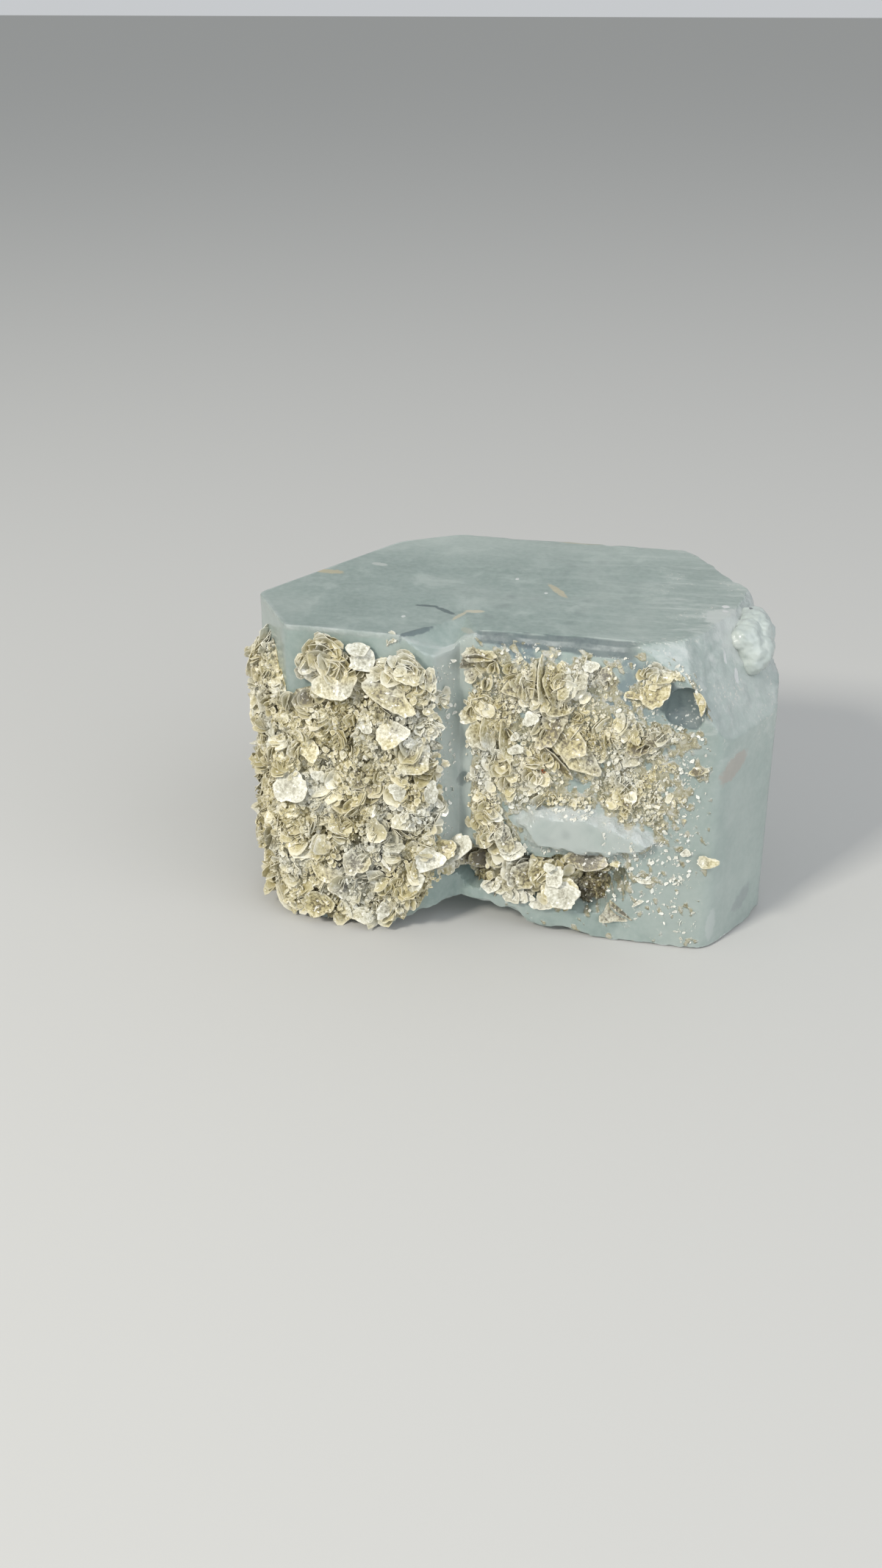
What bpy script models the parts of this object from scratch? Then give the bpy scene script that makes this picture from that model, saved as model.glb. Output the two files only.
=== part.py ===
"""Stubby aquamarine crystal, grown over with muscovite mica.

A short hexagonal beryl prism stands on its broken base. Two lobes grew side by side on its front, with a
re-entrant step between them. Mica scales crust its left side and front, mica books fill a pocket low on
the front, and a few pale quartz lumps sit on the chipped upper right corner.

Plan measures are taken from the prism's front left corner: x along the front, y towards the back, z up
from the surface it stands on. All of them are millimetres, turned to metres by MM.
"""

import math
import random

import bmesh
import bpy
import numpy as np
from mathutils import Matrix, Vector

MM = 0.001

# Driving sizes of the prism: each side face is (direction that it faces in degrees, distance from HEART)
HEIGHT = 37.0
HEART = Vector((24.25, 16.46))
LEFT_FACE = (210.0, 29.2)
FRONT_LEFT_LOBE = (265.15, 18.45)
FRONT_RIGHT_LOBE = (267.25, 15.40)
RIGHT_FACES = ((330.0, 29.4), (0.0, 30.2), (30.0, 25.0))
BACK_FACES = ((90.0, 19.0), (120.0, 21.5), (150.0, 22.4))
LOBE_END_X = 15.6  # where the left lobe rounds into the step
STEP = ((16.9, -0.9), (19.3, 2.0))  # shoulder and foot of the step between the lobes
RIGHT_LOBE_START_X = 20.9

GAP = 0.3  # clearance that meshes need where one mineral sits on another
MIDDLE = Vector((23.41, 15.56))  # plan point under the middle of the whole specimen

# Flat breaks: each removes what lies beyond all of its planes, given as (point, outward direction)
LEFT_HEEL = ((-5.75, 9.96, 8.0), (-0.926, -0.115, -0.359))
BREAKS = {
    "right_slope": [((46.0, 6.7, 37.0), (0.766, -0.443, 0.462))],
    "front_corner": [((41.5, 1.6, 37.0), (0.36, -0.75, 0.55))],
    "right_corner": [((49.4, 15.5, 37.0), (0.82, -0.12, 0.56))],
    "back_corner": [((49.0, 22.6, 37.0), (0.75, 0.43, 0.50))],
    "right_lobe_rim": [
        ((30.0, 1.75, 37.0), (-0.04, -0.85, 0.53)),
        ((20.9, 0.0, 0.0), (1.0, 0.0, 0.0)),
        ((39.5, 0.0, 0.0), (-1.0, 0.0, 0.0)),
    ],
    "step_valley": [
        ((19.3, 5.7, 37.0), (0.503, -0.450, 0.738)),
        ((19.3, 5.7, 37.0), (-0.590, -0.283, 0.756)),
    ],
    "left_heel": [LEFT_HEEL],
    "front_heel": [((53.0, 7.0, 0.0), (0.80, -0.25, -0.55))],
    "right_heel": [((50.5, 19.5, 0.0), (0.62, 0.36, -0.70))],
    "back_rim": [((20.0, 34.9, 37.0), (0.04, 0.80, 0.60))],
}

# Rounded breaks: (centre, radii)
HOLLOWS = {
    "front_arch": ((20.6, -2.0, -3.5), (10.6, 13.0, 7.4)),
    "front_toe": ((31.0, -2.0, -5.0), (9.0, 12.0, 6.2)),
    "pit": ((44.3, -1.0, 30.0), (2.7, 2.3, 2.9)),
    "rim_nick": ((33.3, 36.9, 37.5), (2.4, 3.0, 5.0)),
    "back_arch": ((13.0, 37.5, -2.0), (9.0, 6.5, 5.5)),
}
ROUND_FACETS = 3  # subdivisions of the icosphere that cuts a rounded break

# The pale ledge and the pocket below it, as outlines in x and z on the right lobe's face
LEDGE = (
    (26.4, 14.2), (28.0, 16.6), (33.5, 17.0), (38.5, 15.6), (42.6, 13.6), (40.5, 12.0), (34.5, 11.2), (28.5, 11.4),
)
LEDGE_FRONT_Y = -0.8
POCKET = (
    (17.3, 7.4), (19.5, 9.9), (24.5, 10.7), (29.0, 10.1), (34.0, 10.7), (38.6, 9.8), (39.7, 7.6),
    (36.4, 3.6), (33.2, 3.2), (28.0, 4.1), (24.0, 4.5), (20.3, 5.2),
)
POCKET_BACK_Y = 3.6
INSIDE_Y = 4.5  # well inside the beryl
OUTSIDE_Y = -4.0  # well outside it

# Growth steps: thin plates of beryl that stand out of a side face, as
# (the face, start and end along it, bottom, top, height above the face)
GROWTH_STEPS = {
    "right_back": (RIGHT_FACES[2], -11.0, -1.0, 6.5, 27.0, 0.40),
    "back_wide": (BACK_FACES[0], -8.0, 4.5, 5.0, 31.0, 0.40),
    "back_narrow": (BACK_FACES[0], 6.5, 11.0, 9.0, 30.0, 0.30),
    "left_back": (BACK_FACES[2], -6.0, 3.5, 8.0, 27.0, 0.35),
}

BERYL = dict(color=(0.42, 0.55, 0.55), roughness=0.25, metallic=0.0)
MICA = dict(color=(0.52, 0.48, 0.33), roughness=0.35, metallic=0.0)
QUARTZ = dict(color=(0.62, 0.64, 0.60), roughness=0.30, metallic=0.0)


def clear_scene():
    for found in list(bpy.data.objects):
        bpy.data.objects.remove(found)


def material(name, color, roughness, metallic):
    made = bpy.data.materials.new(name)
    made.use_nodes = True
    surface = made.node_tree.nodes["Principled BSDF"]
    surface.inputs["Base Color"].default_value = (*color, 1.0)
    surface.inputs["Roughness"].default_value = roughness
    surface.inputs["Metallic"].default_value = metallic
    return made


def mesh_object(name, bm, finish=None, helper=False):
    """A new object with the mesh of bm, which is in millimetres from the front left corner."""
    bmesh.ops.recalc_face_normals(bm, faces=bm.faces)
    bmesh.ops.scale(bm, vec=(MM, MM, MM), verts=bm.verts)
    mesh = bpy.data.meshes.new(name)
    bm.to_mesh(mesh)
    bm.free()
    made = bpy.data.objects.new(name, mesh)
    bpy.context.scene.collection.objects.link(made)
    made.parent = bpy.data.objects["specimen"]
    if finish is not None:
        mesh.materials.append(finish)
    if helper:
        made.hide_render = True
        made.display_type = "WIRE"
    return made


def boolean(target, operation, other, overlapping=False):
    modifier = target.modifiers.new(other.name, "BOOLEAN")
    modifier.operation = operation
    modifier.object = other
    modifier.use_self = overlapping


# The beryl


def direction(degrees):
    return Vector((math.cos(math.radians(degrees)), math.sin(math.radians(degrees))))


def face_line(face, gap):
    """The plan point of a side face nearest HEART, and the direction along the face."""
    degrees, distance = face
    outward = direction(degrees)
    return HEART + outward * (distance + gap), Vector((-outward.y, outward.x))


def corner(face_a, face_b, gap):
    """Where two side faces meet in plan."""
    start_a, along_a = face_line(face_a, gap)
    start_b, along_b = face_line(face_b, gap)
    between = start_b - start_a
    crossed = along_a.x * along_b.y - along_a.y * along_b.x
    return start_a + along_a * ((between.x * along_b.y - between.y * along_b.x) / crossed)


def point_at_x(face, x, gap):
    start, along = face_line(face, gap)
    return start + along * ((x - start.x) / along.x)


def outline(gap):
    """The prism's plan, anticlockwise from its front left corner, moved outwards by gap."""
    step_out = Vector((0.5, -1.0)) * gap
    points = [
        corner(LEFT_FACE, FRONT_LEFT_LOBE, gap),
        point_at_x(FRONT_LEFT_LOBE, LOBE_END_X, gap),
        *[Vector(point) + step_out for point in STEP],
        point_at_x(FRONT_RIGHT_LOBE, RIGHT_LOBE_START_X, gap),
    ]
    ring = [FRONT_RIGHT_LOBE, *RIGHT_FACES, *BACK_FACES, LEFT_FACE]
    points += [corner(a, b, gap) for a, b in zip(ring, ring[1:])]
    return points


def raise_face(bm, ring, height):
    """Extrudes the face on ring straight up by height."""
    raised = bmesh.ops.extrude_face_region(bm, geom=[bm.faces.new(ring)])["geom"]
    lifted = [item for item in raised if isinstance(item, bmesh.types.BMVert)]
    bmesh.ops.translate(bm, vec=(0, 0, height), verts=lifted)


def prism(gap, bottom, top):
    bm = bmesh.new()
    raise_face(bm, [bm.verts.new((*point, bottom)) for point in outline(gap)], top - bottom)
    return bm


def growth_step(face, start, end, bottom, top, height):
    """A thin plate that stands out of a side face, with rounded ends, and reaches a little into it."""
    middle, along = face_line(face, 0.0)
    outward = direction(face[0])
    rooted = 1.0
    profile = ((start, -rooted), (start, height / 2), (start + 1, height), (end - 1, height),
               (end, height / 2), (end, -rooted))
    bm = bmesh.new()
    ring = [bm.verts.new((*(middle + along * run + outward * out), bottom)) for run, out in profile]
    raise_face(bm, ring, top - bottom)
    return bm


def wedge(planes, gap):
    """What lies beyond every one of the planes, within a block larger than the crystal."""
    bm = bmesh.new()
    reach = 4 * HEIGHT
    bmesh.ops.create_cube(bm, size=reach, matrix=Matrix.Translation((*HEART, HEIGHT / 2)))
    for point, outward in planes:
        normal = Vector(outward).normalized()
        cut = bmesh.ops.bisect_plane(
            bm,
            geom=[*bm.verts, *bm.edges, *bm.faces],
            plane_co=Vector(point) + normal * gap,
            plane_no=normal,
            clear_inner=True,
        )["geom_cut"]
        rim = [item for item in cut if isinstance(item, bmesh.types.BMEdge)]
        bmesh.ops.contextual_create(bm, geom=rim)
    return bm


def ellipsoid(centre, radii, facets):
    bm = bmesh.new()
    bmesh.ops.create_icosphere(bm, subdivisions=facets, radius=1.0)
    bmesh.ops.scale(bm, vec=radii, verts=bm.verts)
    bmesh.ops.translate(bm, vec=centre, verts=bm.verts)
    return bm


def tapered_block(edge, sections):
    """An outline in x and z carried through sections of (y, share of its size, growth)."""
    middle = Vector((sum(x for x, _ in edge) / len(edge), sum(z for _, z in edge) / len(edge)))
    bm = bmesh.new()
    rings = []
    for y, share, growth in sections:
        rings.append([])
        for point in edge:
            reach = Vector(point) - middle
            place = middle + reach * share + reach.normalized() * growth
            rings[-1].append(bm.verts.new((place.x, y, place.y)))
    for front, back in zip(rings, rings[1:]):
        for here in range(len(edge)):
            there = (here + 1) % len(edge)
            bm.faces.new((front[here], front[there], back[there], back[here]))
    bm.faces.new(rings[0])
    bm.faces.new(rings[-1])
    return bm


def ledge(gap):
    """The pale ledge: a low block with sloping edges, moved outwards by gap."""
    front = LEDGE_FRONT_Y - gap
    return tapered_block(LEDGE, ((front, 0.82, gap), (front + 1.1, 1.0, gap), (INSIDE_Y, 1.0, gap)))


def pocket(shrink, back):
    """The hollow under the ledge, which narrows inwards to back, with its walls moved in by shrink."""
    return tapered_block(POCKET, ((OUTSIDE_Y, 1.25, -shrink), (0.8, 1.0, -shrink), (back, 0.72, -shrink)))


def crystal(finish):
    """The prism with its growth steps and ledge, cut by the flat and the rounded breaks."""
    body = mesh_object("aquamarine_crystal", prism(0.0, 0.0, HEIGHT), finish)
    for name, sizes in GROWTH_STEPS.items():
        boolean(body, "UNION", mesh_object("grow_" + name, growth_step(*sizes), helper=True))
    for name, planes in BREAKS.items():
        boolean(body, "DIFFERENCE", mesh_object("cut_" + name, wedge(planes, 0.0), helper=True))
    for name, (centre, radii) in HOLLOWS.items():
        cutter = mesh_object("cut_" + name, ellipsoid(centre, radii, ROUND_FACETS), helper=True)
        boolean(body, "DIFFERENCE", cutter)
    boolean(body, "DIFFERENCE", mesh_object("cut_pocket", pocket(0.0, POCKET_BACK_Y), helper=True))
    boolean(body, "UNION", mesh_object("grow_ledge", ledge(0.0), helper=True))
    return body


def keep_out():
    """The beryl's flat faces and ledge, moved out by GAP: nothing that grows on it reaches in here."""
    body = mesh_object("keep_out", prism(GAP, -HEIGHT, HEIGHT + GAP), helper=True)
    for name, planes in BREAKS.items():
        boolean(body, "DIFFERENCE", mesh_object("clear_" + name, wedge(planes, GAP), helper=True))
    boolean(body, "UNION", mesh_object("clear_ledge", ledge(GAP), helper=True))
    return body


# The mica crusts. A run is the distance along the front from the front left corner, in x, and a negative
# run goes back along the left face. A bed is (run, its bottom, its top).

BED_COLUMNS = 17
BED_ROWS = 13
BED_BACK = 1.1 * GAP
LEFT_BED = (
    (-11.7, 9.0, 29.0), (-9.5, 3.0, 33.0), (-5.0, 0.8, 33.5), (0.0, 0.3, 29.0), (3.0, 0.3, 30.0),
    (6.0, 0.3, 33.8), (9.5, 0.3, 34.6), (13.0, 1.6, 33.8), (15.2, 3.4, 32.5),
)
RIGHT_BED = (
    (21.2, 13.0, 32.5), (24.0, 12.6, 32.8), (27.0, 17.2, 33.0), (31.0, 18.4, 33.2), (35.0, 18.2, 32.4),
    (39.0, 17.6, 33.8), (41.4, 19.0, 33.5), (43.2, 22.0, 27.0),
)
SCALE_SIDES = 6
SCALE_THICKNESS = 0.42

# Scales large enough to be told apart: (run, z, how far out, facing, radius)
LEFT_SCALES = (
    (6.6, 31.6, 1.7, (-0.1, -0.8, 0.6), 2.9),
    (9.3, 30.2, 2.3, (0.3, -0.9, 0.5), 2.6),
    (3.9, 30.4, 1.3, (-0.5, -0.8, 0.4), 2.1),
    (13.2, 31.0, 1.7, (0.3, -0.9, 0.3), 2.8),
    (14.4, 27.6, 1.9, (-0.4, -0.8, 0.4), 2.5),
    (8.6, 27.2, 1.8, (0.1, -0.8, 0.6), 2.0),
    (0.8, 16.8, 1.9, (-0.3, -0.9, 0.3), 2.4),
    (13.9, 23.4, 2.1, (0.4, -0.8, 0.5), 2.3),
    (6.6, 12.0, 1.9, (0.0, -0.9, 0.4), 2.2),
    (10.8, 8.6, 2.0, (0.2, -0.9, 0.3), 2.3),
    (14.4, 7.6, 1.6, (0.5, -0.8, 0.2), 2.2),
    (4.4, 5.4, 1.9, (-0.2, -0.8, 0.5), 2.2),
    (8.6, 3.0, 1.8, (0.1, -0.9, 0.3), 2.1),
    (15.0, 12.4, 1.7, (0.6, -0.7, 0.3), 2.0),
    (-4.0, 24.0, 1.7, (-0.8, -0.5, 0.4), 2.0),
    (-7.0, 15.0, 1.7, (-0.9, -0.4, 0.2), 2.0),
)
RIGHT_SCALES = (
    (22.9, 32.6, 0.9, (0.1, -0.6, 0.8), 2.3),
    (23.3, 25.4, 1.1, (0.5, -0.8, 0.2), 2.6),
    (22.2, 27.8, 1.1, (-0.3, -0.9, 0.3), 2.2),
    (28.6, 26.9, 1.2, (0.1, -0.9, 0.4), 2.8),
    (32.6, 25.2, 1.4, (0.4, -0.9, 0.1), 2.9),
    (33.4, 30.6, 1.2, (-0.3, -0.8, 0.5), 2.6),
    (30.2, 31.6, 1.0, (0.7, -0.7, 0.1), 2.2),
    (26.2, 21.4, 1.1, (0.1, -0.9, 0.4), 2.3),
    (39.6, 27.6, 1.3, (0.2, -0.9, 0.3), 2.5),
    (40.4, 32.2, 1.2, (-0.2, -0.8, 0.6), 2.2),
    (38.6, 21.8, 1.2, (0.1, -0.9, 0.4), 2.3),
    (23.4, 15.4, 0.9, (0.2, -0.9, 0.4), 2.1),
)


def beyond_heel(place, outward, z):
    """How far a point lies outside the plane of the left heel, measured along outward."""
    point, normal = LEFT_HEEL
    past = (Vector((*place, z)) - Vector(point)).dot(Vector(normal))
    facing = outward.dot(Vector(normal[:2]))
    return max(0.0, past) / facing if facing > 0 else 0.0


def run_place(run, faces, out, z):
    """The plan point at a run, out from the beryl, and the way out there."""
    outward = direction(faces[-1][0])
    place = point_at_x(faces[-1], run, 0.0)
    if run <= 0:
        outward = direction(LEFT_FACE[0])
        start = corner(LEFT_FACE, FRONT_LEFT_LOBE, 0.0)
        place = start + face_line(LEFT_FACE, 0.0)[1] * run
    place = place - outward * beyond_heel(place, outward, z)
    if run == 0:
        towards = (outward + direction(faces[-1][0])).normalized()
        return place + towards * (out / towards.dot(outward)), towards
    return place + outward * out, outward


def rolling(run, z, seed):
    """A height from 0 to 1 that rolls over a crust, as the sum of three slow waves."""
    waves = ((0.9, 0.35), (-0.5, 0.8), (1.3, 1.1))
    parts = [math.sin(across * run + up * z + seed + 2.1 * n) for n, (across, up) in enumerate(waves)]
    return 0.5 + sum(parts) / 6


def bed_edge(edge, run):
    """Bottom and top of a bed at a run, with an uneven border."""
    keys = [row[0] for row in edge]
    bottom = np.interp(run, keys, [row[1] for row in edge])
    top = np.interp(run, keys, [row[2] for row in edge])
    return bottom + 0.4 * max(0.0, math.sin(2.3 * run)), top - 0.9 * max(0.0, math.sin(1.9 * run + 1.0))


def bed(edge, faces, seed, lowest, highest):
    """A lumpy layer over a face, thinner towards its border and flat at its back."""
    runs = set(np.linspace(edge[0][0], edge[-1][0], BED_COLUMNS))
    runs = sorted(runs | {0.0}) if edge[0][0] < 0 else sorted(runs)
    bm = bmesh.new()
    outer, inner = [], []
    last_column, last_row = len(runs) - 1, BED_ROWS - 1
    for column, run in enumerate(runs):
        bottom, top = bed_edge(edge, run)
        outer.append([])
        inner.append([])
        for row in range(BED_ROWS):
            z = bottom + (top - bottom) * row / last_row
            in_from_border = min(0.15 + row / 2, (last_row - row) / 2, column / 2, (last_column - column) / 2)
            height = lowest + (highest - lowest) * rolling(run, z, seed)
            out = GAP + 0.25 + min(1.0, in_from_border) * height
            outer[-1].append(bm.verts.new((*run_place(run, faces, out, z)[0], z)))
            inner[-1].append(bm.verts.new((*run_place(run, faces, BED_BACK, z)[0], z)))
    for column in range(last_column):
        for row in range(last_row):
            for grid in (outer, inner):
                here, there = grid[column], grid[column + 1]
                bm.faces.new((here[row], there[row], there[row + 1], here[row + 1]))
        for row in (0, last_row):
            bm.faces.new((outer[column][row], outer[column + 1][row],
                          inner[column + 1][row], inner[column][row]))
    for row in range(last_row):
        for column in (0, last_column):
            bm.faces.new((outer[column][row], outer[column][row + 1],
                          inner[column][row + 1], inner[column][row]))
    bmesh.ops.triangulate(bm, faces=bm.faces)
    bmesh.ops.dissolve_limit(bm, angle_limit=math.radians(0.3), verts=bm.verts, edges=bm.edges)
    return bm


def add_scale(bm, centre, facing, radius, chance, thickness=SCALE_THICKNESS):
    """One mica scale: a thin flat plate of uneven outline that faces the given way."""
    turn = Vector(facing).to_track_quat("Z", "Y").to_matrix()
    spin = chance.uniform(0, 2 * math.pi)
    rim = []
    for side in range(SCALE_SIDES):
        angle = spin + 2 * math.pi * side / SCALE_SIDES
        reach = radius * chance.uniform(0.82, 1.12)
        local = Vector((reach * math.cos(angle), reach * math.sin(angle), -thickness / 2))
        rim.append(bm.verts.new(Vector(centre) + turn @ local))
    raised = bmesh.ops.extrude_face_region(bm, geom=[bm.faces.new(rim)])["geom"]
    lifted = [item for item in raised if isinstance(item, bmesh.types.BMVert)]
    bmesh.ops.translate(bm, vec=turn @ Vector((0, 0, thickness)), verts=lifted)


def loose_scales(edge, faces, count, radii, seed, out):
    """Scales that stand out of a bed like loose shingles, some of them over its border."""
    chance = random.Random(seed)
    bm = bmesh.new()
    for _ in range(count):
        run = chance.uniform(edge[0][0] + 0.6, edge[-1][0] - 0.6)
        bottom, top = bed_edge(edge, run)
        radius = chance.uniform(*radii)
        z = chance.uniform(bottom + 0.7 * radius, top - 0.4 * radius)
        place, outward = run_place(run, faces, GAP + out, z)
        across = Vector((-outward.y, outward.x, 0)) * chance.uniform(-0.6, 0.6)
        lift = Vector((0, 0, chance.uniform(0.1, 1.0)))
        facing = (Vector((*outward, 0)) + across + lift).normalized()
        add_scale(bm, (*place, z), facing, radius, chance)
    return bm


def placed_scales(table, faces, seed):
    chance = random.Random(seed)
    bm = bmesh.new()
    for run, z, out, facing, radius in table:
        place = run_place(run, faces, out, z)[0]
        add_scale(bm, (*place, z), Vector(facing).normalized(), radius, chance)
    return bm


def crust(name, layer, loose, placed, blocked, finish):
    """A bed with its scales joined to it, cut back where it would reach into the beryl or the ground."""
    body = mesh_object(name, layer, finish)
    boolean(body, "UNION", mesh_object(name + "_loose", loose, helper=True), overlapping=True)
    boolean(body, "UNION", mesh_object(name + "_placed", placed, helper=True), overlapping=True)
    boolean(body, "DIFFERENCE", blocked)
    ground = ((*HEART, 0.05), (0.0, 0.0, -1.0))
    boolean(body, "DIFFERENCE", mesh_object(name + "_ground", wedge([ground], 0.0), helper=True))
    return body


# The mica books in the pocket: (x, y, z of the front plate, facing, radius)
POCKET_BOOKS = (
    (18.9, 0.3, 8.3, (0.3, -0.9, 0.3), 2.2),
    (22.2, -0.4, 8.4, (0.0, -0.8, 0.6), 2.1),
    (25.6, -0.3, 7.5, (-0.2, -0.9, 0.3), 2.3),
    (29.2, -1.1, 7.9, (0.2, -0.9, 0.3), 2.6),
    (32.6, -1.3, 7.2, (0.1, -0.8, 0.5), 2.4),
    (36.8, -0.1, 7.6, (0.4, -0.9, 0.2), 2.0),
    (31.0, -1.0, 9.1, (-0.1, -0.8, 0.5), 1.9),
)
BOOK_PLATES = 3
BOOK_PITCH = 0.8  # from one plate of a book to the next
BOOK_DEPTH = 4.0  # length of the solid heart that the plates fray from
FILL_DEPTH = 2.0  # thickness of the mica that lines the pocket's back


def pocket_books(finish):
    """Books of mica plates on a lining at the back of the pocket, clear of its walls by GAP."""
    chance = random.Random(37)
    plates = bmesh.new()
    for x, y, z, facing, radius in POCKET_BOOKS:
        normal = Vector(facing).normalized()
        add_scale(plates, Vector((x, y, z)) - normal * BOOK_DEPTH / 2, normal, 0.85 * radius, chance, BOOK_DEPTH)
        for plate in range(BOOK_PLATES):
            centre = Vector((x, y, z)) - normal * BOOK_PITCH * plate
            add_scale(plates, centre, normal, radius * (1 + 0.12 * plate), chance)
    back = POCKET_BACK_Y - GAP
    lining = tapered_block(POCKET, ((back - FILL_DEPTH, 0.88, -1.8 * GAP), (back, 0.72, -1.8 * GAP)))
    body = mesh_object("mica_pocket_books", lining, finish)
    boolean(body, "UNION", mesh_object("pocket_plates", plates, helper=True), overlapping=True)
    boolean(body, "INTERSECT", mesh_object("pocket_room", pocket(1.5 * GAP, back), helper=True))
    return body


# The quartz on the upper right corner: (centre, radius) of each grain
QUARTZ_HEART = ((50.9, 13.0, 34.1), (1.6, 3.2, 2.0))
QUARTZ_GRAINS = (
    ((50.9, 15.6, 34.9), 1.7),
    ((51.4, 13.4, 34.6), 1.9),
    ((51.8, 10.8, 33.1), 1.7),
    ((50.1, 11.0, 34.9), 1.7),
    ((52.0, 13.6, 32.2), 1.6),
    ((52.2, 16.0, 33.3), 1.4),
    ((51.3, 9.2, 31.5), 1.4),
    ((49.4, 9.2, 34.9), 1.2),
)


def quartz_grains(blocked, finish):
    """Broken grains grown into each other on the slope of the upper right corner."""
    chance = random.Random(8)
    grains = bmesh.new()
    for centre, radius in QUARTZ_GRAINS:
        made = bmesh.ops.create_icosphere(grains, subdivisions=2, radius=radius)["verts"]
        turn = Matrix.Rotation(chance.uniform(0, math.pi), 3, "Z")
        for vert in made:
            vert.co *= chance.uniform(0.84, 1.14)
        bmesh.ops.rotate(grains, matrix=turn, verts=made)
        bmesh.ops.translate(grains, vec=centre, verts=made)
    body = mesh_object("quartz_grains", ellipsoid(*QUARTZ_HEART, 2), finish)
    boolean(body, "UNION", mesh_object("loose_grains", grains, helper=True), overlapping=True)
    boolean(body, "DIFFERENCE", blocked)
    return body


def main():
    clear_scene()
    specimen = bpy.data.objects.new("specimen", None)
    bpy.context.scene.collection.objects.link(specimen)
    specimen.location = (-MIDDLE.x * MM, -MIDDLE.y * MM, 0)
    mica = material("muscovite", **MICA)
    crystal(material("aquamarine", **BERYL))
    blocked = keep_out()
    left = (LEFT_FACE, FRONT_LEFT_LOBE)
    crust(
        "mica_crust_left",
        bed(LEFT_BED, left, 0.4, 0.35, 1.2),
        loose_scales(LEFT_BED, left, 40, (1.3, 2.1), 5, 0.9),
        placed_scales(LEFT_SCALES, left, 6),
        blocked,
        mica,
    )
    right = (FRONT_RIGHT_LOBE,)
    crust(
        "mica_crust_right",
        bed(RIGHT_BED, right, 2.0, 0.2, 0.9),
        loose_scales(RIGHT_BED, right, 26, (1.2, 2.0), 12, 0.6),
        placed_scales(RIGHT_SCALES, right, 13),
        blocked,
        mica,
    )
    pocket_books(mica)
    quartz_grains(blocked, material("quartz", **QUARTZ))


main()
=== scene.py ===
"""Looks of the aquamarine specimen: cloudy beryl, pearly mica scales and milky quartz.

Sizes are in millimetres from the prism's front left corner, as the solids were laid out: x along the
front, y towards the back, z up. to_frame() moves them to the model's own frame, in metres.
"""

import bpy
import numpy as np
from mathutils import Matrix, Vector


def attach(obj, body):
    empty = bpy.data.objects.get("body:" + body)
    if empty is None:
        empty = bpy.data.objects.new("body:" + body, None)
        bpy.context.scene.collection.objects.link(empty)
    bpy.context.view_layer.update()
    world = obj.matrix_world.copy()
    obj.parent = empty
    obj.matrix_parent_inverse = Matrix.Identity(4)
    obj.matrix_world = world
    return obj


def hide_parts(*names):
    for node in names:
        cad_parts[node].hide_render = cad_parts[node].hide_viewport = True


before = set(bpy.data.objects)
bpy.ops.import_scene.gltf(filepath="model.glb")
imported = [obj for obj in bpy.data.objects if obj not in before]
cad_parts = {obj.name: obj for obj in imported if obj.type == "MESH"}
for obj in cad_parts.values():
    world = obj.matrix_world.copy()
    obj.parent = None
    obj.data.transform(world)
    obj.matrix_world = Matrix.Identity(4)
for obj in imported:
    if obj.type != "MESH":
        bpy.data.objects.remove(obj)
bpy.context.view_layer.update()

# The beryl crystal
# One short six-sided prism of beryl that grew as two lobes with a step between them, and stands on its
# broken lower end. Its faces are glossy growth faces with fine upright striations; the upper right
# corner, the rims and the base are frosted breaks.

MIDDLE = np.array([23.41, 15.56, 0.0])  # under the middle of the whole specimen
HEIGHT = 37.0
HEART = np.array([24.25, 16.46])
LEFT_FACE = (210.0, 29.2)  # direction that a side faces, in degrees, and its distance from HEART
FRONT_LEFT_LOBE = (265.15, 18.45)
FRONT_RIGHT_LOBE = (267.25, 15.40)
RIGHT_FACES = ((330.0, 29.4), (0.0, 30.2), (30.0, 25.0))
BACK_FACES = ((90.0, 19.0), (120.0, 21.5), (150.0, 22.4))
LOBE_END_X, RIGHT_LOBE_START_X = 15.6, 20.9
STEP = ((16.9, -0.9), (19.3, 2.0))
GRID_FRONT, GRID_RIGHT, GRID_BACK = 0.26, 0.45, 0.8  # column spacing on the sides
GRID_UP = 0.28
CAP_RINGS, BASE_RINGS = 44, 30
RIM_ROUND = ((0.20, 0.0), (0.06, 0.06), (0.0, 0.20))  # rings of the worn top rim: how far in, how far down
RIM_RADIUS = 24.0  # from HEART out to the rim, taken as one number for all sides
FRONT_X, FRONT_BACK_Y = (0.5, 48.0), 3.0  # the part of the sides that the pocket and ledge can be on
GROOVE_X = (16.2, 17.4, 20.6, 21.4)  # where the painted light in the groove between the lobes starts, is full and ends
MEAN_RADIUS = 29.0
SOFT_EDGE = (49.0, 0.5)  # the upright edge at the right end of the front is worn round

# Flat breaks: a point, the outward direction, roughness in mm, frost from 0 to 1
BREAKS = (
    ((46.0, 6.7, 37.0), (0.766, -0.443, 0.462), 0.16, 0.35),
    ((41.5, 1.6, 37.0), (0.36, -0.75, 0.55), 0.10, 0.15),
    ((49.4, 15.5, 37.0), (0.82, -0.12, 0.56), 0.25, 0.75),
    ((49.0, 22.6, 37.0), (0.75, 0.43, 0.50), 0.30, 0.40),
    ((-5.75, 9.96, 8.0), (-0.926, -0.115, -0.359), 0.30, 0.30),
    ((53.0, 7.0, 0.0), (0.80, -0.25, -0.55), 0.25, 0.30),
    ((50.5, 19.5, 0.0), (0.62, 0.36, -0.70), 0.30, 0.40),
    ((20.0, 34.9, 37.0), (0.04, 0.80, 0.60), 0.25, 0.30),
)
RIM_BEVEL = ((30.0, 1.75, 37.0), (-0.04, -0.85, 0.53))
RIM_BEVEL_X = (20.9, 39.5)
VALLEY = ((19.3, 5.7, 37.0), (0.503, -0.450, 0.738), (-0.590, -0.283, 0.756))

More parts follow.
